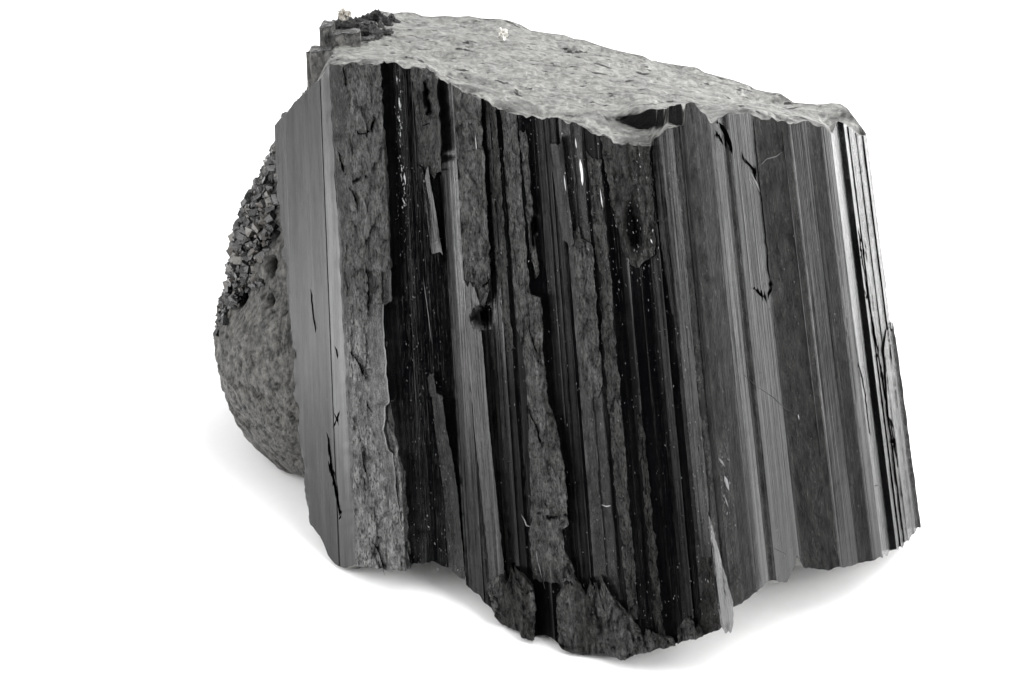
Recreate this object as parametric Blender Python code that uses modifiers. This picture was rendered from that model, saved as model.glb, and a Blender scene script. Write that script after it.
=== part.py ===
"""A broken section of a black tourmaline crystal, resting on its ragged lower fracture.

The crystal frame has its origin near the foot of the prism: X runs across the front, Y away
from the front, and S along the crystal's long axis. Every striation runs to one far point, so
the section is a little wider at the foot. The whole is then leaned back and to the left, and
stands on small flats worn on the base. Lengths are in millimetres until the mesh is finished.
"""

import math
import random

import bmesh
import bpy
from mathutils import Matrix, Vector, noise

MM = 0.001

# The long axis and where the crystal stands.
TAPER_POINT = 594.0          # height at which the striations would meet
LEAN_BACK = 22.0             # degrees, top away from the front
LEAN_LEFT = 4.9              # degrees, top towards -X
FOOT = (7.19, -20.21, -5.4)  # where the crystal frame's origin stands
PRISM_LOW = -12.0
PRISM_HIGH = 86.0

# Strips of the front, left to right: (width seen from the front, degrees it is turned right).
LEFT_EDGE = (-42.5, 6.5)
LEFT_FACE = [(7.3, -50), (2.3, -42), (6.5, -33)]
BLACK_BAND = [(0.3, 78), (3.0, -10), (4.2, -6), (0.05, -88.5)]
MIDDLE = [
    (0.65, -5), (1.5, -42), (1.75, -12), (2.5, -4), (0.05, -88), (0.5, -42), (0.15, 30), (0.8, -38),
    (0.65, -5), (2.2, -40), (1.15, 5), (1.55, -12), (0.6, -42), (0.15, 30), (0.5, -42), (0.2, 30),
    (0.85, -38), (0.75, -5), (1.2, -38), (0.1, 40), (1.25, -42), (0.4, -5), (1.65, -33), (0.25, 45),
    (1.4, -14), (0.9, -38), (1.3, 4), (0.15, -60), (1.7, -14), (0.9, -38), (0.2, 50), (1.2, -14),
    (1.7, -36),
]
RIGHT_FACE = [
    (0.8, 14), (0.15, -30), (0.7, 34), (1.55, 32), (1.7, 36), (0.65, 46), (1.3, 38), (0.65, 10),
    (3.65, 42), (5.0, 34), (2.5, 40), (2.45, 30), (1.55, 62), (0.95, 10), (0.85, 66), (0.1, -40),
    (0.85, 70), (0.1, -40), (1.1, 70), (0.1, -30), (0.9, 70),
]

# The hidden faces: corners in the crystal frame, with the striations between them.
BACK_CORNERS = [(37.0, 9.5), (-13.0, 40.5), (-23.5, 43.0), (-28.5, 36.0), (-31.5, 18.0)]
BACK_STRIPS = [(2, 0.3), (17, 0.75), (4, 0.4), (3, 0.4), (5, 0.5), (2, 0.2)]   # (strips, relief)
BACK_SEED = 7

# The left edge is broken back towards the foot: a slanting cut, (height, X).
LEFT_BREAK = [(-14.0, -37.3), (70.0, -43.4)]
LEFT_BREAK_TOP = 70.0
LEFT_BREAK_REACH = 60.0

# The rough bulge on the left flank: axis, depth ratio, and (height, reach) up the bulge.
BULGE_AXIS = (-31.0, 21.0)
BULGE_DEPTH = 0.8
BULGE_PROFILE = [
    (11.0, 0.0), (13.0, 6.0), (15.0, 10.0), (17.2, 14.0), (21.5, 17.8), (25.5, 20.0), (31.0, 21.9),
    (34.0, 22.2), (38.0, 21.6), (41.0, 20.4), (43.0, 19.7), (47.0, 19.3), (52.0, 17.6), (56.5, 14.4),
    (61.0, 11.9), (63.3, 10.8), (66.0, 7.6), (69.0, 5.5), (71.0, 0.0),
]
BULGE_SIDES = 40
BULGE_LUMPS = 0.9

# Small intergrown crystal at the upper left back: (x, y, width, depth, turn, top height).
STUB_BLOCKS = [
    (-34.6, 13.5, 6.0, 8.0, 6, 72.8), (-33.0, 23.0, 6.2, 8.5, -5, 75.0), (-29.8, 20.5, 4.6, 6.0, 12, 74.0),
    (-30.6, 30.5, 7.0, 8.0, 14, 74.6), (-36.4, 16.5, 2.8, 5.0, 20, 71.0),
]
STUB_LOW = 50.0
STUB_LUMPS = [
    (-32.8, 27.5, 75.6, 1.5), (-30.8, 29.0, 75.0, 1.6), (-29.3, 30.5, 74.8, 1.5), (-28.0, 28.5, 75.2, 1.2),
    (-35.2, 26.4, 74.6, 1.2),
]

# Plates standing on the front: (X left, X right, lift left, lift right, low end, high end, lean).
PLATES = {
    "upper_plate": (-22.2, -18.8, 0.5, 2.0, 58.0, 84.0, 0.0),
    "upper_sliver": (-21.6, -20.3, 0.4, 1.2, 49.0, 59.0, -0.075),
    "lower_sliver": (-21.6, -19.9, 0.4, 1.5, -12.0, 32.5, -0.03),
    "ridge_plate": (-16.7, -13.1, 0.1, 1.5, 42.0, 84.0, 0.0),
    "ridge_blade": (-16.6, -14.7, 0.1, 1.3, 6.0, 42.5, -0.025),
    "wide_plate": (-8.1, -5.5, -0.1, 1.1, -12.0, 33.0, 0.0),
    "corner_blade": (11.2, 13.3, 0.5, 0.9, -2.0, 17.5, -0.01),
    "edge_splinter": (36.2, 39.6, -0.4, 0.6, -2.0, 32.0, 0.0),
}
PLATE_ROOT = 1.6             # how far a plate reaches into the prism
PLATE_RAGGED = 2.4

# Notches broken out of the front: (x, s, half width, half height, depth).
NOTCHES = {
    "plate_ledge": (-26.6, 20.0, 0.75, 23.0, 0.9),
    "niche": (-26.9, 27.2, 1.0, 3.0, 1.7),
    "ridge_chip": (-15.0, 41.5, 1.5, 3.2, 1.3),
    "right_chip": (21.6, 42.0, 1.7, 1.2, 0.7),
    "right_foot_notch": (21.4, 8.6, 1.4, 3.6, 1.8),
    "corner_notch": (15.4, 6.0, 1.6, 3.6, 1.8),
}

# Lumps of the ragged foot: (x, y inward from the face, s, radius, height ratio).
FOOT_LUMPS = [
    (-15.4, 2.9, 4.8, 3.9, 1.3), (-13.2, 3.0, 2.6, 3.6, 1.2), (-4.8, 3.3, 3.0, 4.0, 1.3),
    (-0.6, 3.4, 1.2, 4.0, 1.2),
]
FOOT_ROUGH = 0.55

# Pits in the granular crust: (degrees round the bulge from -X to the front, s, radius).
CRUST_PITS = [
    (36, 49.5, 1.8), (20, 57.0, 1.1), (44, 54.5, 1.0), (48, 46.0, 1.0), (15, 44.0, 1.4), (5, 38.5, 1.1),
    (28, 41.0, 0.9), (4, 52.0, 1.2), (-22, 47.0, 1.6), (-40, 55.0, 1.2),
]
# Grains of the crust: how many, the angles and heights they cover, and their radii.
CRUST_GRAINS = 34
CRUST_ANGLES = (-50, 42)
CRUST_HEIGHTS = (37.0, 65.0)
CRUST_RADII = (0.7, 1.4)
CRUST_SEED = 11

# Plates on the hidden back face: (share along it, from and to, lift from, lift to, low, high).
BACK_PLATES = {
    "back_plate_0": (0.10, 0.19, 0.3, 1.4, 2.0, 51.0),
    "back_plate_1": (0.40, 0.54, 1.3, 0.3, 37.0, 86.0),
    "back_plate_2": (0.70, 0.79, 0.3, 1.5, 2.0, 58.0),
}

# The upper fracture: a tilted plane with swells, (x, y, radius, rise), in the crystal frame.
TOP_LEVEL = 67.0
TOP_SLOPE_X = -0.195
TOP_SLOPE_Y = 0.09
TOP_SWELLS = [
    (-23.0, -3.5, 8.0, 0.9), (-29.0, -2.0, 3.6, -0.6), (-3.5, -12.5, 8.0, -1.3), (5.8, -17.0, 4.0, -1.6),
    (12.8, -18.5, 2.6, 3.6), (22.0, -10.5, 5.3, 0.8), (21.0, 10.5, 8.0, -1.2), (7.0, 21.0, 7.0, -0.5),
    (-7.0, 10.5, 10.5, 0.5), (32.0, 2.0, 4.5, -2.6), (27.0, 8.0, 5.5, -1.6), (-19.5, 35.5, 4.5, -1.0),
]
TOP_ROUGH = 0.45
LEFT_SHOULDER = (-29.6, 1.25)    # past this X the top falls away, by this much a millimetre
TOP_CELL = 1.8
TOP_SPAN = ((-58.0, -32.0), (48.0, 50.0))
ABOVE_TOP = 110.0

# The base as it stands: height above the ground along the front, then hollows behind it.
BASE_RIM = [
    (-60.0, 7.0), (-37.0, 5.3), (-29.0, 1.4), (-26.5, 1.4), (-20.0, 4.6), (-16.0, 5.4), (-12.0, 3.2),
    (-5.5, 0.0), (-1.0, 1.0), (1.5, 0.0), (7.0, 0.9), (12.0, 3.3), (17.0, 5.9), (18.5, 7.4), (20.0, 10.6),
    (25.5, 12.4), (29.5, 9.6), (39.5, 6.5), (42.0, 4.6), (46.0, 1.8),
]
BASE_RIM_DEPTH = 17.0            # how far behind the rim its height fades out
BASE_SWELLS = [
    (24.0, -8.0, 10.0, 3.2), (-20.0, -4.0, 9.0, 2.6), (4.0, -14.0, 8.0, 2.0), (8.0, 14.0, 9.0, 1.8),
    (-28.0, 12.0, 7.0, 2.0),
]
BASE_FLATS = [(-4.5, -30.0, 3.0), (2.5, -33.0, 3.0), (-26.5, -17.5, 2.5), (42.0, -10.0, 2.5),
              (27.0, 5.0, 4.0), (-8.0, 20.0, 7.0), (-10.0, -11.0, 4.0)]
BASE_ROUGH = 0.7
BASE_CELL = 2.6
BASE_SPAN = ((-70.0, -60.0), (70.0, 70.0))
BELOW_BASE = -60.0

# Colours and finishes: (colour, roughness).
TOURMALINE = ((0.012, 0.012, 0.014, 1.0), 0.3)
WHITE_GRAIN = ((0.75, 0.74, 0.7, 1.0), 0.6)
BROWN_GRAIN = ((0.42, 0.36, 0.29, 1.0), 0.6)

# Foreign grains: (x, y, half sizes, turn); each stands a hair clear of what it grew on.
TOP_GRAIN = (-9.7, 21.4, (0.75, 0.5, 0.85), 20)
STUB_GRAIN = (-33.0, 22.6, (1.0, 0.8, 0.8), 40)
STUB_GRAIN_FLOOR = 75.0
GRAIN_GAP = 0.32


def remove_everything():
    for obj in list(bpy.data.objects):
        bpy.data.objects.remove(obj, do_unlink=True)


def new_collection(name):
    collection = bpy.data.collections.new(name)
    bpy.context.scene.collection.children.link(collection)
    return collection


def new_material(name, finish):
    colour, roughness = finish
    material = bpy.data.materials.new(name)
    material.use_nodes = True
    shader = material.node_tree.nodes["Principled BSDF"]
    shader.inputs["Base Color"].default_value = colour
    shader.inputs["Roughness"].default_value = roughness
    shader.inputs["Metallic"].default_value = 0.0
    shader.inputs["IOR"].default_value = 1.64
    return material


def between(points, x):
    """Straight-line value at x in a list of (x, value)."""
    if x <= points[0][0]:
        return points[0][1]
    for (x0, v0), (x1, v1) in zip(points, points[1:]):
        if x <= x1:
            return v0 + (v1 - v0) * (x - x0) / (x1 - x0)
    return points[-1][1]


def swell(x, y, bumps):
    """Sum of round swells at a point."""
    total = 0.0
    for cx, cy, radius, rise in bumps:
        total += rise * math.exp(-((x - cx) ** 2 + (y - cy) ** 2) / radius ** 2)
    return total


# ---- the crystal frame -------------------------------------------------------------------------

def lean():
    """Crystal frame to standing frame, both in millimetres."""
    back = Matrix.Rotation(math.radians(-LEAN_BACK), 4, "X")
    left = Matrix.Rotation(math.radians(-LEAN_LEFT), 4, "Y")
    return Matrix.Translation(Vector(FOOT)) @ back @ left


def tapered(x, y, s):
    """Where a point of the foot section comes to at height s."""
    k = 1.0 - s / TAPER_POINT
    return Vector((x * k, y * k, s))


def front_outline():
    """The strips' edges, walked from the left edge to the right one."""
    x, y = LEFT_EDGE
    points = [(x, y)]
    for across, facing in LEFT_FACE + BLACK_BAND + MIDDLE + RIGHT_FACE:
        x += across
        y += across * math.tan(math.radians(facing))
        points.append((x, y))
    return points


def striated(start, end, strips, relief, rng):
    """Points between two corners, stepping in and out like fine prism faces."""
    start, end = Vector(start), Vector(end)
    along = end - start
    outward = Vector((along.y, -along.x)).normalized()
    points = []
    for i in range(1, strips):
        share = (i + rng.uniform(-0.3, 0.3)) / strips
        out = relief * (1 if i % 2 else -1) * rng.uniform(0.3, 1.0)
        points.append(tuple(start + along * share + outward * out))
    return points


def outline():
    rng = random.Random(BACK_SEED)
    points = front_outline()
    corners = [points[-1]] + BACK_CORNERS + [LEFT_EDGE]
    for i, (strips, relief) in enumerate(BACK_STRIPS):
        points += striated(corners[i], corners[i + 1], strips, relief, rng)
        if i + 1 < len(corners) - 1:
            points.append(corners[i + 1])
    return points


def front_depth(x):
    """Y of the front at a place across it."""
    return between(FRONT, x)


def top_height(x, y):
    """Height of the upper fracture along the crystal's axis."""
    fall = max(0.0, LEFT_SHOULDER[0] - x)
    level = TOP_LEVEL + TOP_SLOPE_X * x + TOP_SLOPE_Y * y - fall * LEFT_SHOULDER[1]
    broad = noise.noise(Vector((x * 0.16, y * 0.16, 3.0)))
    fine = 0.5 * noise.noise(Vector((x * 0.4, y * 0.4, 8.0)))
    return level + swell(x, y, TOP_SWELLS) + TOP_ROUGH * (broad + fine)


def base_height(x, y):
    """Height of the lower fracture above the ground, at a standing place."""
    front = between(STANDING_FRONT, x)
    fade = max(0.0, 1.0 - max(0.0, y - front) / BASE_RIM_DEPTH)
    rough = BASE_ROUGH * (noise.noise(Vector((x * 0.22, y * 0.22, 21.0))) + 0.6) * (1.0 - 0.6 * fade)
    height = between(BASE_RIM, x) * fade + swell(x, y, BASE_SWELLS) * (1.0 - fade) + rough
    for cx, cy, radius in BASE_FLATS:
        away = math.hypot(x - cx, y - cy)
        height *= min(1.0, max(0.0, (away - radius) / (0.6 * radius)))
    return height


# ---- solids -------------------------------------------------------------------------------------

def add_object(name, bm, collection):
    """A new object from the mesh, all in triangles so that every face is flat."""
    mesh = bpy.data.meshes.new(name)
    bmesh.ops.recalc_face_normals(bm, faces=bm.faces)
    bmesh.ops.triangulate(bm, faces=bm.faces)
    bm.to_mesh(mesh)
    bm.free()
    obj = bpy.data.objects.new(name, mesh)
    collection.objects.link(obj)
    return obj


def extruded(name, points, low, high, collection):
    """A flat outline as a 2D curve, extruded and welded into a closed mesh."""
    curve = bpy.data.curves.new(name, "CURVE")
    curve.dimensions = "2D"
    curve.fill_mode = "BOTH"
    curve.extrude = (high - low) / 2
    spline = curve.splines.new("POLY")
    spline.points.add(len(points) - 1)
    for point, (x, y) in zip(spline.points, points):
        point.co = (x, y, 0.0, 1.0)
    spline.use_cyclic_u = True
    drawn = bpy.data.objects.new(name + "_curve", curve)
    drawn.location.z = (high + low) / 2
    collection.objects.link(drawn)
    bpy.context.view_layer.update()
    evaluated = drawn.evaluated_get(bpy.context.evaluated_depsgraph_get())
    mesh = bpy.data.meshes.new_from_object(evaluated)
    bm = bmesh.new()
    bm.from_mesh(mesh)
    bmesh.ops.transform(bm, matrix=drawn.matrix_world, verts=bm.verts)
    bmesh.ops.remove_doubles(bm, verts=bm.verts, dist=0.0001)
    bpy.data.objects.remove(drawn)
    bpy.data.meshes.remove(mesh)
    return add_object(name, bm, collection)


def taper(obj):
    for vertex in obj.data.vertices:
        vertex.co = tapered(*vertex.co)


def join(body, pieces, operation):
    """A Boolean of the body with each piece in turn; every mesh here is closed."""
    for piece in pieces:
        change = body.modifiers.new(piece.name, "BOOLEAN")
        change.operation = operation
        change.solver = "MANIFOLD"
        change.object = piece
        piece.hide_render = True
        piece.display_type = "WIRE"


def settle(obj):
    """Replace the object's mesh with its evaluated one."""
    bpy.context.view_layer.update()
    evaluated = obj.evaluated_get(bpy.context.evaluated_depsgraph_get())
    mesh = bpy.data.meshes.new_from_object(evaluated)
    obj.modifiers.clear()
    obj.data = mesh


def prism(collection):
    obj = extruded("tourmaline_crystal", outline(), PRISM_LOW, PRISM_HIGH, collection)
    taper(obj)
    return obj


def bulge(collection):
    """The rough flank: a turned profile, pressed flatter and roughened."""
    bm = bmesh.new()
    rows = [bm.verts.new((reach, 0.0, s)) for s, reach in BULGE_PROFILE[::-1]]
    for upper, lower in zip(rows, rows[1:]):
        bm.edges.new((upper, lower))
    obj = add_object("flank_bulge", bm, collection)
    turned = obj.modifiers.new("turned", "SCREW")
    turned.steps = BULGE_SIDES
    turned.render_steps = BULGE_SIDES
    turned.use_merge_vertices = True
    turned.merge_threshold = 0.0001
    settle(obj)
    bm = bmesh.new()
    bm.from_mesh(obj.data)
    for vertex in bm.verts:
        x, y, s = vertex.co
        lump = 1.0 + BULGE_LUMPS * noise.noise(vertex.co * 0.21) / max(6.0, math.hypot(x, y))
        vertex.co = tapered(BULGE_AXIS[0] + x * lump, BULGE_AXIS[1] + y * BULGE_DEPTH * lump, s)
    bmesh.ops.recalc_face_normals(bm, faces=bm.faces)
    bm.to_mesh(obj.data)
    bm.free()
    return obj


def block(name, place, size, turn, collection):
    bm = bmesh.new()
    bmesh.ops.create_cube(bm, size=1.0)
    matrix = Matrix.Translation(Vector(place)) @ Matrix.Rotation(math.radians(turn), 4, "Z")
    matrix = matrix @ Matrix.Diagonal((*size, 1.0))
    bmesh.ops.transform(bm, matrix=matrix, verts=bm.verts)
    for vertex in bm.verts:
        vertex.co = tapered(*vertex.co)
    return add_object(name, bm, collection)


def lump(name, place, radius, ratio, collection, detail=2, rough=0.25):
    """A round rough lump, broader or taller by its ratio."""
    bm = bmesh.new()
    bmesh.ops.create_icosphere(bm, subdivisions=detail, radius=radius)
    for vertex in bm.verts:
        push = 1.0 + rough * noise.noise(vertex.co * (1.1 / radius) + Vector(place))
        vertex.co = Vector((vertex.co.x * push, vertex.co.y * push, vertex.co.z * push * ratio))
        vertex.co += Vector(place)
    return add_object(name, bm, collection)


def bulge_place(degrees, s, inward=0.0):
    """A place on the bulge's surface."""
    turn = math.radians(degrees)
    reach = between(BULGE_PROFILE, s) - inward
    x = BULGE_AXIS[0] - reach * math.cos(turn)
    y = BULGE_AXIS[1] - reach * BULGE_DEPTH * math.sin(turn)
    return tapered(x, y, s)


def crust(collection):
    """Angular grains fused to the upper part of the bulge."""
    rng = random.Random(CRUST_SEED)
    pieces = []
    for i in range(CRUST_GRAINS):
        degrees = rng.uniform(*CRUST_ANGLES)
        s = rng.uniform(*CRUST_HEIGHTS)
        radius = rng.uniform(*CRUST_RADII)
        place = bulge_place(degrees, s, 0.45 * radius)
        pieces.append(lump(f"crust_grain_{i}", place, radius, 1.0, collection, 1, 0.5))
    return pieces


def stub(collection):
    """The small intergrown crystal: stepped blocks and the dark lumps on them."""
    pieces = []
    for i, (x, y, width, depth, turn, top) in enumerate(STUB_BLOCKS):
        middle = (x, y, (STUB_LOW + top) / 2)
        pieces.append(block(f"stub_{i}", middle, (width, depth, top - STUB_LOW), turn, collection))
    for i, (x, y, s, radius) in enumerate(STUB_LUMPS):
        pieces.append(lump(f"stub_lump_{i}", tapered(x, y, s), radius, 1.1, collection))
    return pieces


def slab(name, ends, lifts, outward, span, slant, collection):
    """A thin plate between two places on a face, ending in ragged ledges."""
    start, end = Vector(ends[0]), Vector(ends[1])
    corners = [
        start - outward * PLATE_ROOT, start + outward * lifts[0], end + outward * lifts[1],
        end - outward * PLATE_ROOT,
    ]
    obj = extruded(name, [tuple(corner) for corner in corners], span[0], span[1], collection)
    middle = (span[0] + span[1]) / 2
    for vertex in obj.data.vertices:
        x, y, s = vertex.co
        ragged = PLATE_RAGGED * noise.noise(Vector((x * 2.3, s * 0.7, 5.0)))
        vertex.co = tapered(x + slant * (s - middle), y, s + ragged)
    return obj


def front_plate(name, values, collection):
    left, right, lift_left, lift_right, low, high, slant = values
    ends = ((left, front_depth(left)), (right, front_depth(right)))
    return slab(name, ends, (lift_left, lift_right), Vector((0.0, -1.0)), (low, high), slant, collection)


def back_plate(name, values, collection):
    share_from, share_to, lift_from, lift_to, low, high = values
    start, end = Vector(BACK_CORNERS[0]), Vector(BACK_CORNERS[1])
    along = end - start
    outward = Vector((along.y, -along.x)).normalized()
    ends = (start + along * share_from, start + along * share_to)
    return slab(name, ends, (lift_from, lift_to), outward, (low, high), 0.0, collection)


def notch(name, values, collection):
    """A rough hollow broken into the front."""
    x, s, half_width, half_height, depth = values
    bm = bmesh.new()
    bmesh.ops.create_icosphere(bm, subdivisions=1, radius=1.0)
    y = front_depth(x)
    for vertex in bm.verts:
        push = 1.0 + 0.5 * noise.noise(vertex.co * 1.9 + Vector((x, s, 0.0)))
        local = vertex.co * push
        vertex.co = tapered(x + local.x * half_width, y + local.y * depth, s + local.z * half_height)
    return add_object(name, bm, collection)


def left_break(collection):
    """The slanting break that narrows the left face towards the foot."""
    bm = bmesh.new()
    bmesh.ops.create_cube(bm, size=2.0)
    for vertex in bm.verts:
        s = PRISM_LOW - 2.0 if vertex.co.z < 0 else LEFT_BREAK_TOP
        edge = between(LEFT_BREAK, s)
        x = edge if vertex.co.x > 0 else edge - LEFT_BREAK_REACH
        vertex.co = tapered(x, vertex.co.y * LEFT_BREAK_REACH, s)
    return add_object("left_break", bm, collection)


def sheet_cutter(name, low, high, cell, surface, far, collection):
    """A solid from a rough sheet out to a flat far side."""
    columns = round((high[0] - low[0]) / cell)
    rows = round((high[1] - low[1]) / cell)
    bm = bmesh.new()
    bmesh.ops.create_grid(bm, x_segments=columns, y_segments=rows, size=0.5)
    centre = ((low[0] + high[0]) / 2, (low[1] + high[1]) / 2)
    for vertex in bm.verts:
        x = centre[0] + vertex.co.x * (high[0] - low[0])
        y = centre[1] + vertex.co.y * (high[1] - low[1])
        vertex.co = (x, y, surface(x, y))
    rim = bmesh.ops.extrude_face_region(bm, geom=bm.faces[:])
    for item in rim["geom"]:
        if isinstance(item, bmesh.types.BMVert):
            item.co.z = far
    return add_object(name, bm, collection)


def crystal(parts, cutters):
    body = prism(parts)
    join(body, [left_break(cutters)], "DIFFERENCE")
    grown = [bulge(cutters)]
    grown += [front_plate(name, values, cutters) for name, values in PLATES.items()]
    grown += [back_plate(name, values, cutters) for name, values in BACK_PLATES.items()]
    for i, (x, inward, s, radius, ratio) in enumerate(FOOT_LUMPS):
        place = tapered(x, front_depth(x) + inward, s)
        grown.append(lump(f"foot_lump_{i}", place, radius, ratio, cutters, 2, FOOT_ROUGH))
    join(body, grown, "UNION")
    broken = [notch(name, values, cutters) for name, values in NOTCHES.items()]
    broken.append(sheet_cutter("top_fracture", *TOP_SPAN, TOP_CELL, top_height, ABOVE_TOP, cutters))
    join(body, broken, "DIFFERENCE")
    join(body, stub(cutters) + crust(cutters), "UNION")
    pits = []
    for i, (degrees, s, radius) in enumerate(CRUST_PITS):
        pits.append(lump(f"crust_pit_{i}", bulge_place(degrees, s), radius, 1.2, cutters, 1, 0.6))
    join(body, pits, "DIFFERENCE")
    settle(body)
    body.data.transform(lean())
    base = sheet_cutter("base_fracture", *BASE_SPAN, BASE_CELL, base_height, BELOW_BASE, cutters)
    join(body, [base], "DIFFERENCE")
    settle(body)
    return body


def grain(name, values, floor, collection):
    """A small foreign grain standing just above a floor height in the crystal frame."""
    x, y, half, turn = values
    bm = bmesh.new()
    bmesh.ops.create_icosphere(bm, subdivisions=2, radius=1.0)
    for vertex in bm.verts:
        push = 1.0 + 0.3 * noise.noise(vertex.co * 1.4 + Vector((x, y, 0.0)))
        vertex.co = Vector((vertex.co.x * half[0], vertex.co.y * half[1], vertex.co.z * half[2])) * push
    bmesh.ops.rotate(bm, matrix=Matrix.Rotation(math.radians(turn), 3, "Z"), verts=bm.verts)
    lowest = min(vertex.co.z for vertex in bm.verts)
    place = tapered(x, y, floor) + Vector((0.0, 0.0, GRAIN_GAP - lowest))
    for vertex in bm.verts:
        vertex.co += place
    obj = add_object(name, bm, collection)
    obj.data.transform(lean())
    return obj


def to_metres(objects):
    for obj in objects:
        obj.data.transform(Matrix.Scale(MM, 4))


def tidy(obj, material):
    """Weld the crumbs a Boolean leaves, make every face a triangle and give the material."""
    bm = bmesh.new()
    bm.from_mesh(obj.data)
    bmesh.ops.dissolve_degenerate(bm, dist=0.00001, edges=bm.edges)
    bmesh.ops.triangulate(bm, faces=bm.faces)
    bm.to_mesh(obj.data)
    bm.free()
    obj.data.shade_flat()
    obj.data.materials.clear()
    obj.data.materials.append(material)


FRONT = front_outline()
STANDING_FRONT = [tuple((lean() @ tapered(x, y, 0.0)).xy) for x, y in FRONT]

remove_everything()
part_collection = new_collection("tourmaline_crystal")
cutter_collection = new_collection("cutters")
body = crystal(part_collection, cutter_collection)
top_floor = top_height(*tapered(TOP_GRAIN[0], TOP_GRAIN[1], TOP_LEVEL).xy)
white = grain("white_grain", TOP_GRAIN, top_floor, part_collection)
brown = grain("stub_grain", STUB_GRAIN, STUB_GRAIN_FLOOR, part_collection)
to_metres([body, white, brown])
tidy(body, new_material("tourmaline", TOURMALINE))
tidy(white, new_material("white_grain", WHITE_GRAIN))
tidy(brown, new_material("brown_grain", BROWN_GRAIN))
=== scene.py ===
"""The look of the tourmaline crystal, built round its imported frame.

Shapes are worked out in the crystal frame, in millimetres: X across the front, Y away from the
front and S along the long axis, with every striation running to one far point. tapered() narrows
a shape towards that point, stand() leans it into the standing frame, and new_mesh() makes it metres.
"""

import math
import random

import bmesh
import bpy
import numpy as np
from mathutils import Matrix, Vector, noise
from mathutils.geometry import delaunay_2d_cdt


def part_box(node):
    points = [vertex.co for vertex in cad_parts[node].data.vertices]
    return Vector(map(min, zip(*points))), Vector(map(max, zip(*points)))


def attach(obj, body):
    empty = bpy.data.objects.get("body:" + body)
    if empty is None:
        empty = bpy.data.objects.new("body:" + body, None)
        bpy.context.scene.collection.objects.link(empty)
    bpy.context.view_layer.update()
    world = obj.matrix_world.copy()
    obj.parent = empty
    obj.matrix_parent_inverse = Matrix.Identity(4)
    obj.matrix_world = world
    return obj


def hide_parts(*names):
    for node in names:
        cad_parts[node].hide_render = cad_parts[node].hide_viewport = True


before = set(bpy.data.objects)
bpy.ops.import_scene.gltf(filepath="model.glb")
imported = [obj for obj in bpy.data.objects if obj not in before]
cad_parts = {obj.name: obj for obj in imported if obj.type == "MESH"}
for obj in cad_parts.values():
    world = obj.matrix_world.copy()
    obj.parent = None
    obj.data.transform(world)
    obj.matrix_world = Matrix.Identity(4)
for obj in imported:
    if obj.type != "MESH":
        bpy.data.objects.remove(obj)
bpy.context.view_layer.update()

# ---- the crystal frame, the same values as the part's ---------------------------------------------
TAPER_POINT = 594.0          # height at which the striations would meet
LEAN_BACK = 22.0             # degrees, top away from the front
LEAN_LEFT = 4.9              # degrees, top towards -X
FOOT = (7.19, -20.21, -5.4)  # where the crystal frame's origin stands
MM = 0.001

# Strips of the front: (width seen from the front, degrees it is turned right, finish).
LEFT_EDGE = (-42.5, 6.5)
STRIPS = [
    (1.7, -50, "streaked"), (5.5, -50, "smooth"), (0.1, 20, "black"), (2.3, -43, "bright"),
    (6.5, -33, "under"), (0.3, 78, "black"), (3, -10, "black"), (4.2, -6, "black"), (0.043, -88.5, "black"),
    (0.36, -5, "black"), (1.8, -42, "lined"), (1.75, -12, "black"), (0.8, -4, "black"), (0.5, -36, "mid"),
    (0.15, 20, "black"), (0.4, -36, "mid"), (0.3, -4, "black"), (0.35, -38, "lined"), (0.025, -88, "black"),
    (0.5, -42, "lined"), (0.15, 30, "black"), (0.8, -38, "faint"), (0.65, -5, "black"), (2.2, -40, "deep"),
    (1.15, 5, "black"), (1.55, -10, "black"), (0.6, -40, "faint"), (0.15, 30, "black"), (0.5, -38, "faint"),
    (0.2, 30, "black"), (0.85, -35, "faint"), (0.75, -5, "black"), (1.2, -38, "mid"), (0.1, 40, "black"),
    (1.25, -38, "mid"), (0.4, -5, "black"), (1.65, -33, "deep"), (0.25, 45, "black"), (1.4, -8, "black"),
    (0.9, -38, "deep"), (1.3, 4, "black"), (0.15, -60, "black"), (1.7, -10, "black"), (0.9, -38, "faint"),
    (0.2, 50, "black"), (1.2, -10, "black"), (1.7, -36, "mid"), (0.8, 14, "mid"), (0.15, -30, "mid"),
    (0.7, 32, "faint"), (1.55, 30, "blue"), (1.7, 36, "worn"), (0.65, 48, "lined"), (1.3, 43, "bright"),
    (0.65, 10, "blue"), (3.65, 44, "bright"), (5, 29, "blue"), (2.5, 38, "bright"), (1.9, 32, "worn"),
    (1.1, 45, "bright"), (1.5, 68, "glare"), (0.75, 8, "black"), (0.6, 67, "glare"), (0.12, -25, "black"),
    (1.1, 66, "edge"), (0.1, -25, "black"), (1, 68, "edge"), (0.15, -20, "black"), (0.6, 71, "edge"),
]
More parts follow.
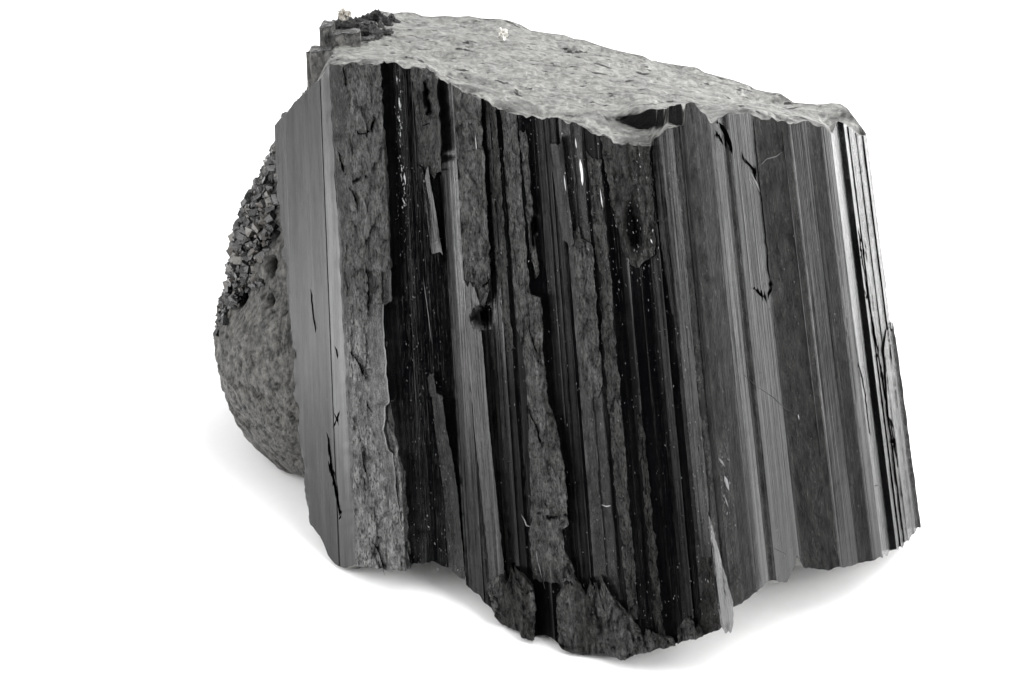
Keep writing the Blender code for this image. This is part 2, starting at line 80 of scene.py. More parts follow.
# Each finish: (how dull 0-1, broken relief mm, line relief mm, mesh step mm, shine, line contrast).
FINISHES = {
    "smooth": (0.08, 0.010, 0.010, 0.75, 0.38, 0.12),
    "streaked": (0.15, 0.020, 0.040, 0.35, 0.42, 0.55),
    "bright": (0.05, 0.012, 0.015, 0.45, 0.55, 0.30),
    "lined": (0.12, 0.030, 0.060, 0.26, 0.50, 1.00),
    "faint": (0.20, 0.030, 0.060, 0.26, 0.18, 1.00),
    "mid": (0.45, 0.080, 0.050, 0.26, 0.34, 0.80),
    "worn": (0.30, 0.030, 0.030, 0.40, 0.24, 0.40),
    "dull": (1.00, 0.240, 0.050, 0.21, 0.48, 0.20),
    "dim": (1.00, 0.240, 0.050, 0.21, 0.26, 0.20),
    "black": (0.00, 0.015, 0.020, 0.40, 0.50, 0.60),
    "deep": (0.10, 0.060, 0.050, 0.40, 0.05, 0.60),
    "blue": (0.50, 0.040, 0.025, 0.40, 0.16, 0.40),
    "edge": (0.30, 0.120, 0.100, 0.24, 0.85, 0.90),
    "foot": (1.00, 0.450, 0.060, 0.30, 0.46, 0.20),
    "glare": (0.10, 0.020, 0.030, 0.28, 0.85, 0.50),
    "under": (0.60, 0.080, 0.050, 0.60, 0.30, 0.40),
    "back": (0.45, 0.120, 0.080, 2.00, 0.40, 0.50),
}
# The unseen back: its corners, and (how many strips, how far they step) between them.
BACK_CORNERS = [(37, 9.5), (-13, 40.5), (-23.5, 43), (-28.5, 36), (-31.5, 18)]
BACK_STRIPS = [(2, 0.3), (17, 0.75), (4, 0.4), (3, 0.4), (5, 0.5), (2, 0.2)]
BACK_SEED = 7
# The broken left border: (S, X).
LEFT_BREAK = [(-14, -37.3), (70, -43.4)]
LEFT_BREAK_REACH = -36.0

# Height of the top rim along the front, (X, S), and how far back it holds.
TOP_RIM = [
    (-43, 63.6), (-42.5, 64.3), (-35.2, 70.2), (-32.9, 72.2), (-30, 72.3), (-26.4, 72.1), (-22.1, 71.5),
    (-18.7, 70.3), (-16.6, 69), (-13, 67.7), (-10.2, 66.3), (-6.8, 65.3), (-3, 64.8), (0.3, 64),
    (1.4, 63.7), (3, 63), (4.2, 62.2), (6.6, 61.6), (8.9, 61.2), (9.6, 61.7), (10.9, 62.7), (11.7, 63.4),
    (13.6, 63.3), (13.8, 65.9), (15.2, 66), (15.9, 65), (17.1, 63.6), (18.4, 63.5), (19.6, 64.1), (21, 64),
    (23.2, 63.2), (28.2, 61.4), (30.7, 60.9), (33.1, 60.1), (34.5, 59.2), (35.2, 60.2), (35.6, 60.4),
    (39.6, 57.4),
]
TOP_RIM_DEPTH = 4.0
# The upper fracture: its plane, its swells (X, Y, radius, rise), and its fall past the left shoulder.
TOP_LEVEL = 67.0
TOP_SLOPE_X = -0.195
TOP_SLOPE_Y = 0.09
TOP_SWELLS = [
    (-23, -3.5, 8, 0.9), (-29, -2, 3.6, -0.6), (-3.5, -12.5, 8, -1.3), (5.8, -17, 4, -1.6),
    (22, -10.5, 5.3, 0.8), (21, 10.5, 8, -1.2), (7, 21, 7, -0.5), (-7, 10.5, 10.5, 0.5), (32, 2, 4.5, -2.6),
    (27, 8, 5.5, -1.6), (-19.5, 35.5, 4.5, -1),
]
TOP_ROUGH = 0.45
LEFT_SHOULDER = (-29.6, 1.25)
SHOULDER_DROP = 3.2
# The step behind the low front shelf, in tapered places: (x, y, height of its upper edge).
SHELF_WALL = [
    (2.2, -11, 64.2), (3.3, -11.4, 64), (4.8, -11.2, 63.9), (6, -11.8, 63.95), (6.6, -12.6, 64.1),
    (8.5, -14.2, 64.75), (9.7, -16.6, 65.2), (10.4, -18.9, 65.7), (11.2, -20.2, 65.9), (12.2, -20.5, 66),
]
SHELF_SLOPE = 0.2
SHELF_SIDES = (2.2, 12.15)
# The lower fracture: height of its front rim (X, Z), swells (X, Y, radius, rise) and flats (X, Y, radius).
BASE_RIM = [
    (-60, 7), (-37, 5.3), (-29, 1.4), (-26.5, 1.4), (-20, 4.6), (-16, 5.4), (-12, 3.2), (-5.5, 0), (-1, 1),
    (1.5, 0), (7, 0.9), (12, 3.3), (17, 5.9), (18.5, 7.4), (20, 10.6), (24.6, 12.2), (27, 10.4),
    (28.4, 14.4), (29.4, 10.6), (31, 9.4), (39.5, 6.5), (42, 4.6), (46, 1.8),
]
BASE_RIM_DEPTH = 17.0
BASE_SWELLS = [
    (24, -8, 10, 3.2), (-20, -4, 9, 2.6), (4, -14, 8, 2), (8, 14, 9, 1.8), (-28, 12, 7, 2),
]
BASE_FLATS = [
    (-4.5, -30, 3), (2.5, -33, 3), (-26.5, -17.5, 2.5), (42, -10, 2.5), (27, 5, 4), (-8, 20, 7), (-10, -11, 4),
]
BASE_ROUGH = 0.7

# The bulge on the left flank: a profile (S, reach) turned about an axis, and flattened front to back.
BULGE_AXIS = (-31, 21)
BULGE_DEPTH = 0.8
BULGE_PROFILE = [
    (11, 0), (13, 6), (15, 10), (17.2, 14), (21.5, 17.8), (25.5, 20), (31, 21.9), (34, 22.2), (38, 21.6),
    (41, 20.4), (43, 19.7), (47, 19.3), (52, 17.6), (56.5, 14.4), (61, 11.9), (63.3, 10.8), (66, 7.6),
    (69, 5.5), (71, 0),
]
# The crust covers part of the bulge: angles from -X towards the front, and heights.
CRUST_ANGLES = (-60, 46)
CRUST_HEIGHTS = (34, 67)
# Pits among the crust: (degrees, S, radius).
CRUST_PITS = [
    (36, 49.5, 2), (20, 57, 1.1), (44, 54.5, 0.9), (48, 46, 0.9), (15, 44, 1.4), (5, 38.5, 1.1),
    (28, 41, 0.9), (4, 52, 1.2), (-22, 47, 1.6), (-40, 55, 1.2), (50, 41.5, 0.7), (46, 50, 0.8),
]
CRUST_GRAINS = 3600

# Small intergrown crystal: blocks (x, y, width, depth, turn, top) and lumps (x, y, s, radius).
STUB_BLOCKS = [
    (-35.5, 5.6, 2.8, 6.6, 3, 73.5), (-36.6, 7.5, 1.4, 5, -6, 73.2), (-35, 14.2, 1.7, 9, 0, 75.7),
    (-32.3, 12.7, 4.2, 7, 2, 74.7), (-29.8, 14.4, 3, 6, -8, 73.5), (-31.4, 24, 7.4, 9, 8, 73.4),
    (-28, 26.5, 4, 7, 14, 72.8),
]
STUB_LOW = 50.0
DARKER_BLOCKS = (4, 6)
STUB_LUMPS = [
    (-33.4, 27.5, 74.2, 1.3), (-31.6, 29, 73.6, 1.5), (-30, 30.5, 73.5, 1.5), (-28.2, 29.5, 74.7, 0.9),
    (-35, 26.4, 73.6, 1.1), (-32, 24.5, 73.6, 1), (-30.2, 25, 73.2, 1.1), (-28.6, 24.5, 73.3, 1),
    (-34.2, 29.5, 73.7, 1.2), (-27.6, 27.5, 73.8, 1), (-29.6, 20, 73.2, 1.2), (-27.6, 24, 72.9, 1.2),
    (-31, 19.6, 73.9, 1.1), (-28.8, 16, 72.9, 0.8), (-29.6, 22.4, 73.7, 1.3), (-32.6, 20.5, 74.2, 1.1),
    (-33.8, 22.5, 74, 1.2), (-28.6, 19, 73, 1.1), (-27, 21, 72.8, 0.9), (-26.4, 32.5, 73.6, 1),
]

# Plates standing on the front: rows of (s, left x, right x, lift left, lift right), and the finish.
# A plate whose first row is below 0 runs to the foot, and one whose last row passes 69 to the top.
PLATES = {
    "left_plate": ("dull", [
        (-3, -32.9, -25.9, 0.1, 0.4), (11, -32.8, -25.9, 0.1, 0.4), (14.2, -32.8, -26.6, 0.1, 0.3),
        (18, -32.8, -27, 0.1, 0.3), (24.2, -32.8, -27.4, 0.1, 0.25), (24.6, -32.8, -28.1, 0.1, 0.1),
        (27.5, -32.8, -28.6, 0.1, 0.1), (30.2, -32.9, -28.2, 0.1, 0.1), (30.6, -32.9, -27.4, 0.1, 0.25),
        (34, -32.9, -27.7, 0.1, 0.25), (42.9, -33, -27.8, 0.1, 0.3), (43.3, -33.1, -26.3, 0.1, 0.7),
        (50, -33.2, -26.2, 0.1, 0.7), (72, -33.7, -26.4, 0.1, 0.7), (74, -33.7, -26.4, 0.1, 0.7)]),
    "upper_plate": ("dull", [
        (58.4, -21.3, -18.9, 0.1, 1.7), (60, -21.9, -18.8, 0.1, 2), (66, -22.1, -18.7, 0.1, 2.1),
        (73, -22.3, -18.7, 0.1, 2.1)]),
    "upper_sliver": ("bright", [
        (48.6, -20.9, -19.4, 0.1, 1.2), (52, -21.2, -19.8, 0.2, 1.4), (59, -21.9, -20.7, 0.2, 1.3)]),
    "lower_sliver": ("mid", [
        (-3, -21, -18.95, 0.1, 1.6), (11, -21.1, -19.2, 0.1, 1.6), (18, -21.4, -19.6, 0.1, 1.5),
        (24, -21.8, -20.3, 0.1, 1.3), (29.4, -21.9, -20.5, 0.1, 1.2), (29.8, -22.2, -21.3, 0.1, 0.8),
        (33.4, -22.3, -21.5, 0, 0.6)]),
    "ridge_plate": ("dull", [
        (41.8, -15.8, -14.2, 0.1, 0.9), (43.4, -16.4, -13.7, 0.1, 1.3), (46, -16.6, -13.2, 0.1, 1.6),
        (56, -16.65, -13, 0.1, 1.7), (73, -16.7, -13, 0.1, 1.7)]),
    "ridge_blade": ("lined", [
        (-3, -15.8, -13.8, 0.1, 1.3), (8, -15.95, -13.95, 0.1, 1.3), (25, -16.6, -14.6, 0.1, 1.2),
        (43, -17, -14.9, 0.1, 1.1), (45, -16.9, -15.4, 0.1, 0.9)]),
    "fine_plate": ("dim", [
        (37, -11.6, -10.95, 0.1, 0.2), (44, -12.2, -10.95, 0.1, 0.2), (60, -12.3, -10.95, 0.1, 0.25),
        (73, -12.4, -10.9, 0.1, 0.25)]),
    "wide_plate": ("dull", [
        (8.6, -10.3, -5.2, 0.25, 1.3), (11, -10.4, -5.3, 0.25, 1.4), (13.6, -10.4, -6.2, 0.25, 1.3),
        (16.4, -10.3, -6.3, 0.25, 1.3), (17, -10.1, -5.4, 0.25, 1.4), (24, -9.8, -5.35, 0.25, 1.4),
        (28, -9.7, -5.7, 0.25, 1.3), (32.6, -9.5, -6.4, 0.2, 1.1), (34, -9.5, -6.9, 0.2, 0.9),
        (39.6, -9.6, -7, 0.2, 0.8), (44, -10.2, -6.9, 0.2, 0.9), (48.2, -10.25, -6.8, 0.2, 0.9),
        (48.8, -10.25, -8.2, 0.2, 0.4), (60, -10.3, -8.2, 0.2, 0.4), (73, -10.3, -8.3, 0.2, 0.4)]),
    "wide_sliver": ("dull", [
        (46, -7.4, -6.9, 0.1, 0.3), (50, -7.8, -7.1, 0.1, 0.4), (58, -7.9, -7, 0.1, 0.4),
        (64, -8, -7.2, 0.1, 0.3)]),
    "green_plate": ("dull", [
        (31, -1.9, -0.6, 0.2, 0.3), (33, -2.2, 0.1, 0.2, 0.35), (50, -2.2, 0.3, 0.2, 0.35),
        (50.6, -2.2, -1.1, 0.2, 0.3), (52, -2.2, -1.2, 0.2, 0.3)]),
    "smooth_plate": ("worn", [
        (50, -3.4, -2, 0.3, 0.9), (56, -3.9, -2.3, 0.3, 0.9), (62.5, -4.3, -2.5, 0.3, 0.9)]),
    "thin_plate": ("dim", [
        (4, 1, 2.2, 0.1, 0.2), (20, 0.7, 2.25, 0.15, 0.25), (61, 0.65, 2.3, 0.15, 0.25)]),
    "speck_plate": ("dim", [
        (-3, 4, 5.2, 0.1, 0.3), (10, 4.1, 5, 0.1, 0.3), (24, 4, 4.9, 0.1, 0.3),
        (29.5, 4.2, 4.8, 0.1, 0.2)]),
    "corner_skin": ("lined", [
        (12, 10.5, 11.6, 0.1, 0.4), (20, 10.35, 11.9, 0.1, 0.5), (47, 10.3, 11.9, 0.1, 0.5),
        (48.5, 9.6, 12, 0.1, 0.5), (58, 9.1, 12, 0.2, 0.5), (73, 9, 12.1, 0.2, 0.5)]),
    "corner_foot": ("dim", [
        (-3, 9.4, 11.9, 0.2, 0.5), (6, 9.8, 12, 0.1, 0.5), (13, 10.6, 11.8, 0.1, 0.3)]),
    "upper_skin": ("dim", [
        (47.5, 5.6, 6.6, 0.1, 0.2), (49, 4.4, 8.2, 0.2, 0.3), (60, 3.2, 8.6, 0.2, 0.3),
        (73, 2.6, 8.8, 0.2, 0.3)]),
    "corner_blade": ("glare", [
        (3, 12.3, 13, 1.9, 1), (4, 11.9, 13.5, 2, 0.3), (6.6, 11.75, 13.7, 2, 0.1),
        (11.4, 11.7, 12.9, 1.8, 0.5), (15, 11.7, 12.3, 1.3, 0.6), (18, 11.7, 11.95, 0.8, 0.5)]),
    "edge_splinter": ("edge", [
        (-3, 37.2, 40, 0.5, 0.3), (20, 37.2, 40, 0.5, 0.3), (30, 37.8, 39.9, 0.5, 0.3),
        (32.6, 38.6, 39.8, 0.4, 0.2)]),
    "left_lump": ("foot", [
        (-3, -15.3, -10.8, 1.3, 1.7), (2, -15.9, -10.3, 1.5, 2.1), (6.4, -16, -10.3, 1.7, 2.2),
        (8.4, -15.2, -11.4, 1.5, 1.7), (9.2, -14, -12.4, 1, 1.2)]),
    "middle_lump": ("foot", [
        (-3, -7.6, -3.4, 1.4, 1.2), (3, -7.8, -3.2, 1.9, 1.5), (6, -7.4, -3.7, 1.6, 1.2),
        (7.8, -6.6, -4.6, 1.1, 0.8), (8.8, -5.9, -5, 0.5, 0.4)]),
    "right_lump": ("foot", [
        (-3, -4.2, 2.8, 1, 0.9), (1, -4.2, 2.4, 1.6, 1.3), (4, -4.1, 1.3, 1.8, 1.2),
        (6, -4, 0.2, 1.5, 0.9), (8.2, -3.2, -1.4, 1, 0.5)]),
    "low_lump": ("foot", [
        (-3, 2, 6.4, 0.6, 0.5), (0.6, 2.4, 6, 0.9, 0.6), (2.4, 2.8, 4.2, 0.6, 0.5)]),
    "far_lump": ("foot", [
        (-3, 6.6, 9.8, 0.5, 0.6), (2, 6.8, 9.6, 0.7, 0.8), (3.8, 7.8, 9.2, 0.4, 0.5)]),
}
TO_THE_FOOT = 0.0
TO_THE_TOP = 69.0
PLATE_ROOT = 1.6             # how far a plate reaches into the prism
PLATE_ROW = 0.27
PLATE_TABLES = [(finish, np.array(rows, float)) for finish, rows in PLATES.values()]
# Where a face is more weathered: (left x, right x, low s, high s, share of its shine).
WORN_PLACES = [
    (-18.3, -16.7, -9, 23, 0.45), (-17.75, -16.7, 42, 80, 2.2), (-18.6, -17.8, 20, 90, 0.5),
    (-5.4, -3, -9, 37, 0.55), (-33, -25.8, -9, 40, 2.3), (10.3, 11.6, -9, 14, 0.5), (12, 15.2, 12, 26, 1.3),
    (11.7, 13.8, -9, 18, 1.35), (-10.4, -8, -9, 8, 0.3), (-40.8, -35.2, -20, 30, 0.9),
    (17.5, 18.8, -9, 90, 1.6), (33.6, 35.1, -9, 90, 1.1), (30.6, 32.5, -9, 90, 0.5),
    (36.6, 40, 44, 90, 0.85), (23.1, 28.1, -9, 90, 0.6), (16.85, 17.5, -9, 90, 0.8),
    (13.6, 15.15, 26, 90, 0.8), (15.15, 16.85, -9, 90, 0.75), (-35.2, -32.9, -9, 90, 1.15),
    (-14.2, -10.9, -9, 36, 0.4), (8.85, 10.25, -9, 48, 0.4), (3.9, 8, -9, 44, 0.6), (-7, -5.4, 24, 90, 0.5),
]
# Slivers on the smooth faces: (half width, shade 0 black to 1 white, (x, s) places along it).
# Black ones are painted shade laid in the cracks, and pale ones are painted glints of light off chips.
# One darker than IS_CRACK is a crack, and a crack wider than FINE_CRACK has splinters beside it.
IS_CRACK = 0.05
FINE_CRACK = 0.07
SLIVERS = [
    (0.09, 1, [(-2.45, 64), (-2.4, 62.4)]), (0.08, 0.8, [(-0.75, 62.7), (-0.65, 61.2)]),
    (0.2, 1, [(-0.35, 60.2), (-0.25, 58.3), (-0.3, 57)]), (0.07, 0.7, [(-2.6, 58.4), (-2.5, 56)]),
    (0.07, 0.7, [(1.9, 56.8), (2.05, 54.4)]), (0.08, 0.8, [(7.8, 50.5), (8, 49.9)]),
    (0.06, 0.4, [(-11.3, 16.6), (-10.9, 15.9), (-10.7, 15.2), (-10.2, 15.1)]),
    (0.06, 0.6, [(-1.2, 18.2), (-0.6, 18), (0, 18.2)]),
    (0.04, 0.3, [(-9.9, 14.4), (-9.6, 11), (-8.9, 7.2)]), (0.08, 0.8, [(4.85, 12.6), (4.9, 12.1)]),
    (0.07, 0.12, [(23.2, 57), (24.2, 57.7), (25.6, 57.8), (26.6, 58.3)]),
    (0.16, 0.2, [(13.6, 24), (14.4, 22.6)]), (0.22, 0.25, [(14.2, 21.6), (14.6, 19.6)]),
    (0.12, 0.2, [(13.9, 19.3), (14.3, 17.6)]), (0.06, 0.5, [(24.6, 26.4), (24.7, 25.6)]),
    (0.05, 0.6, [(-14, 63.6), (-13.9, 60.6)]), (0.04, 0.3, [(-22.2, 45.6), (-21.8, 41), (-21.6, 37.6)]),
    (0.05, 0.7, [(-24.4, 70.6), (-24.3, 69.4)]), (0.1, 0.8, [(-24.2, 68), (-24.1, 66.4)]),
    (0.1, 0.7, [(-24, 58.8), (-23.9, 57.2)]), (0.1, 0, [(-36.2, 25), (-35.9, 22), (-35.7, 19.6)]),
    (0.14, 0, [(-35.8, 21.4), (-35.3, 18), (-34.9, 15)]), (0.08, 0, [(-35.2, 27), (-34.3, 29)]),
    (0.06, 0, [(-34.7, 37.2), (-34.3, 35.4)]), (0.05, 0, [(-37.9, 44), (-37.7, 41), (-37.4, 38.4)]),
    (0.1, 0, [(-30.3, 64), (-29.6, 63.8), (-29, 63.9), (-28.2, 64.3)]),
    (0.08, 0, [(-28.4, 64.2), (-27.9, 65), (-27.6, 65.9)]),
    (0.18, 0, [(-33.3, 65.5), (-33.1, 62.5), (-32.7, 60.5), (-32.4, 58.8)]),
    (0.12, 0, [(-31.9, 72), (-31.6, 71), (-31.5, 69.8)]),
    (0.07, 0, [(-21.4, 64.3), (-20.4, 64.6), (-19.2, 64.8)]),
    (0.09, 0, [(-31.6, 57), (-31, 56.2), (-30.5, 54.6)]),
    (0.1, 0, [(-32.3, 36.4), (-31.4, 35.2), (-30.8, 33.4)]),
    (0.09, 0, [(-31.5, 24.5), (-31.2, 21.5), (-31.6, 18.5)]),
    (0.08, 0, [(-29.8, 47.5), (-29.5, 44.8), (-29.9, 41.5)]),
    (0.09, 0, [(-30.6, 30), (-29.4, 28.6), (-28.8, 26.4)]), (0.08, 0, [(-31, 13), (-30, 11.6), (-29.2, 9)]),
    (0.1, 0, [(-12.6, 47), (-13.6, 45.4), (-14.6, 44.6)]), (0.08, 0, [(-9.6, 30), (-8.6, 28), (-8, 25)]),
    (0.08, 0, [(-8.8, 41), (-8.2, 38), (-7.6, 36.6)]), (0.14, 0, [(20.7, 42.8), (21.4, 41.8), (22, 41.4)]),
    (0.1, 0, [(22.5, 41.4), (22.95, 42), (22.9, 43.6)]),
    (0.07, 0, [(22.95, 63), (22.9, 56), (22.95, 50), (22.9, 43)]),
    (0.14, 0, [(21.2, 58.4), (22, 57.2), (22.7, 55.8)]),
    (0.08, 0.2, [(21.8, 56.6), (22.5, 55), (23, 53.4)]), (0.05, 0.25, [(21.4, 56), (22, 54.6)]),
    (0.3, 0, [(18.2, 63.2), (18.9, 61.8), (19.7, 59.8)]), (0.08, 0, [(17.6, 62.4), (18.6, 60.4)]),
    (0.025, 0.06, [(17.6, 33.4), (19.4, 31.2), (21.2, 29.6), (23.2, 27.2), (25, 25.8)]),
    (0.03, 0.06, [(18.7, 12), (20.4, 10.4), (21.6, 9.4)]),
    (0.12, 0, [(36.1, 46), (36.3, 38), (36.9, 28), (37.6, 16)]), (0.12, 0, [(36.8, 44), (36.9, 42)]),
    (0.07, 0, [(33.6, 31), (34, 27), (34.1, 21)]), (0.06, 0, [(33.3, 15), (34.4, 14.6)]),
    (0.05, 0.1, [(26.8, 61), (26.9, 40), (27, 20)]),
]
# Dust and painted sparkles, pale specks standing in for glints of light:
# (how many, left x, right x, low s, high s, largest half width, brightest shade).
SPARKLES = [
    (60, -24.5, -23.9, 54, 71.5, 0.075, 0.9), (50, -25.3, -23.3, 47, 71.5, 0.04, 0.5),
    (220, -25.6, -19.5, 8, 60, 0.045, 0.4), (190, -3, 9, 44, 62, 0.05, 0.6),
    (300, -14, 12, 6, 50, 0.045, 0.42), (50, -12, -5.5, 55, 66, 0.04, 0.5),
    (170, 13.4, 34, 8, 60, 0.04, 0.35), (70, 9.8, 12.2, 4, 60, 0.05, 0.5),
    (30, 13.6, 15, 14, 26, 0.06, 0.3), (60, -8, 9, 4, 9, 0.05, 0.5),
]
# Borders that wander: x where the border stands, reach left, reach right, (s, shift) up the border.
WANDERS = [
    (-26.4, 4, 1.6, [
        (11, 0.5), (14.2, -0.2), (18, -0.6), (24.2, -0.95), (24.6, -1.5), (27.5, -1.9), (30.2, -1.6),
        (30.6, -0.95), (34, -1.25), (42.9, -1.3), (43.3, 0)]),
    (-32.9, 1.6, 3, [(20, 0.1), (50, -0.3), (72, -0.75)]),
]
# Cracks on the rough faces: (half width, depth, (x, s) places along the crack).
CRACKS = [
    (0.34, 0.9, [(-20.4, 69.4), (-20.2, 67.6), (-20.1, 66)]), (0.3, 0.8, [(-7.2, 53), (-7.2, 50)]),
    (0.14, 0.4, [(-9, 17), (-7.6, 16.6), (-5.6, 17)]),
    (0.16, 0.4, [(-31.2, 57.8), (-30.4, 58.2), (-29.4, 58.4)]),
]
# Scoops broken out of the front: (x, s, half width, half height, depth).
SCOOPS = [(5.7, 51.6, 1.15, 3.4, 0.8), (-14.6, 41, 1.4, 1.6, 0.9)]

ROWS = 190
TOP_CELL = (0.4, 0.7)
BASE_CELL = (2.0, 2.0)
SLIVER_SEED = 5
CRUST_SEED = 19

# Soft panels: (name, place, place it faces, width and height, radiance).
PANELS = [
    ("left_panel", (-105, -45, 75), (0, -45, 75), (110, 150), 2.8),
    ("right_panel_front", (108, -4, 75), (0, -4, 75), (28, 150), 1.8),
    ("right_panel_back", (108, 65, 75), (0, 65, 75), (110, 150), 4.0),
    ("top_panel", (180, 30, 380), (0, 0, 0), (380, 380), 4.1),
    ("front_fill", (300, -200, 240), (20, 0, 0), (240, 160), 10.0),
]
FLOOR_HALF = 4000.0
CAMERA_LENS = 102.54
CAMERA_RISE = 34.0           # degrees above the ground
CAMERA_AWAY = 350.0
CAMERA_TARGET = (-6.27, -20.21, 35.42)
SCHORL_IOR = 1.64


# ---- noise ----------------------------------------------------------------------------------------

def lattice(ix, iy, iz, seed):
    """A repeatable number from -1 to 1 at each lattice point."""
    h = (ix * 374761393 + iy * 668265263 + iz * 1440662683 + seed * 1274126177) & 0xFFFFFFFF
    h = ((h ^ (h >> 13)) * 1103515245) & 0xFFFFFFFF
    h = ((h ^ (h >> 16)) * 2246822519) & 0xFFFFFFFF
    return (h ^ (h >> 15)) / 2147483648.0 - 1.0


def grit(points, seed):
    """Smooth noise from -1 to 1 at an (N, 3) array of points."""
    cell = np.floor(points).astype(np.int64)
    share = points - cell
    share = share * share * (3.0 - 2.0 * share)
    total = np.zeros(len(points))
    for dx in (0, 1):
        for dy in (0, 1):
            for dz in (0, 1):
                weight = np.ones(len(points))
                for axis, d in enumerate((dx, dy, dz)):
                    weight *= share[:, axis] if d else 1.0 - share[:, axis]
                total += weight * lattice(cell[:, 0] + dx, cell[:, 1] + dy, cell[:, 2] + dz, seed)
    return total


def layers(points, octaves, seed, fade=0.5):
    """Noise with finer noise on top of it."""
    total = np.zeros(len(points))
    size = 1.0
    for i in range(octaves):
        total += size * grit(points * (2.0 ** i), seed + i)
        size *= fade
    return total


def stack(*columns):
    """Columns, or numbers, side by side in one array."""
    return np.stack([np.asarray(c, float) for c in np.broadcast_arrays(*columns)], -1)


def unit(values):
    """Values held between 0 and 1."""
    return np.clip(values, 0.0, 1.0)


def profile(at, table, column=1):
    """A column of a table, read between its rows by its first column."""
    table = np.asarray(table, float)
    return np.interp(at, table[:, 0], table[:, column])


# ---- surfaces in the crystal frame ------------------------------------------------------------------

def lean():
    """Crystal frame to standing frame, both in millimetres."""
    back = Matrix.Rotation(math.radians(-LEAN_BACK), 4, "X")
    left = Matrix.Rotation(math.radians(-LEAN_LEFT), 4, "Y")
    return Matrix.Translation(Vector(FOOT)) @ back @ left


LEAN = np.array(lean())


def stand(points):
    """Tapered crystal points to standing points, in millimetres."""
    return points @ LEAN[:3, :3].T + LEAN[:3, 3]


def above_floor(points, height):
    """The points with everything below a height pressed up towards it, so nothing goes through the floor."""
    z = points[:, 2]
    points[:, 2] = np.where(z < height, height * np.exp((z - height) / height), z)
    return points


def front_outline():
    """Corners of the strips along the front, left to right."""
    x, y = LEFT_EDGE
    points = [(x, y)]
    for across, facing, finish in STRIPS:
        x += across
        y += across * math.tan(math.radians(facing))
        points.append((x, y))
    return points


def striated(start, end, strips, relief, rng):
    """Points between two corners, stepping in and out like fine prism faces."""
    start, end = Vector(start), Vector(end)
    along = end - start
    outward = Vector((along.y, -along.x)).normalized()
    points = []
    for i in range(1, strips):
        share = (i + rng.uniform(-0.3, 0.3)) / strips
        out = relief * (1 if i % 2 else -1) * rng.uniform(0.3, 1.0)
        points.append(tuple(start + along * share + outward * out))
    return points


FRONT = front_outline()
FRONT_X = np.array([p[0] for p in FRONT])
FRONT_Y = np.array([p[1] for p in FRONT])
FRONT_RUN = np.concatenate([[0.0], np.cumsum(np.hypot(np.diff(FRONT_X), np.diff(FRONT_Y)))])
STAND_FRONT = stand(stack(FRONT_X, FRONT_Y, 0.0))


def front_depth(x):
    """Y of the front at a place across it."""
    return np.interp(x, FRONT_X, FRONT_Y)


def swell(x, y, bumps):
    """Height of smooth round bumps at places."""
    total = np.zeros(len(x))
    for cx, cy, radius, rise in bumps:
        total += rise * np.exp(-((x - cx) ** 2 + (y - cy) ** 2) / radius ** 2)
    return total


def blender_noise(x, y, z, scale):
    """Noise at places on one level, as the solid has it."""
    return np.array([noise.noise(Vector((a * scale, b * scale, z))) for a, b in zip(x, y)])


def top_height(x, y):
    """Height of the upper fracture at tapered crystal places."""
    fall = np.maximum(0.0, LEFT_SHOULDER[0] - x)
    level = TOP_LEVEL + TOP_SLOPE_X * x + TOP_SLOPE_Y * y - fall * LEFT_SHOULDER[1]
    rough = blender_noise(x, y, 3.0, 0.16) + 0.5 * blender_noise(x, y, 8.0, 0.4)
    return level + swell(x, y, TOP_SWELLS) + TOP_ROUGH * rough


def base_height(x, y):
    """Height of the lower fracture above the ground at standing places."""
    front = np.interp(x, STAND_FRONT[:, 0], STAND_FRONT[:, 1])
    fade = np.maximum(0.0, 1.0 - np.maximum(0.0, y - front) / BASE_RIM_DEPTH)
    rough = BASE_ROUGH * (blender_noise(x, y, 21.0, 0.22) + 0.6) * (1.0 - 0.6 * fade)
    height = profile(x, BASE_RIM) * fade + swell(x, y, BASE_SWELLS) * (1.0 - fade) + rough
    for cx, cy, radius in BASE_FLATS:
        away = np.hypot(x - cx, y - cy)
        height *= unit((away - radius) / (0.6 * radius))
    return height


TAPER_AT_TOP = 1.0 - TOP_LEVEL / TAPER_POINT
RIM_X, RIM_S = np.array(TOP_RIM).T
RIM_X = RIM_X * TAPER_AT_TOP


def top_front(x):
    """Y of the front where it meets the upper fracture."""
    return front_depth(x / TAPER_AT_TOP) * TAPER_AT_TOP


RIM_GAP = RIM_S - top_height(RIM_X, top_front(RIM_X))


def wall_line(x):
    """Y of the step behind the front shelf, and the height of its upper edge."""
    return profile(x, SHELF_WALL), profile(x, SHELF_WALL, 2)


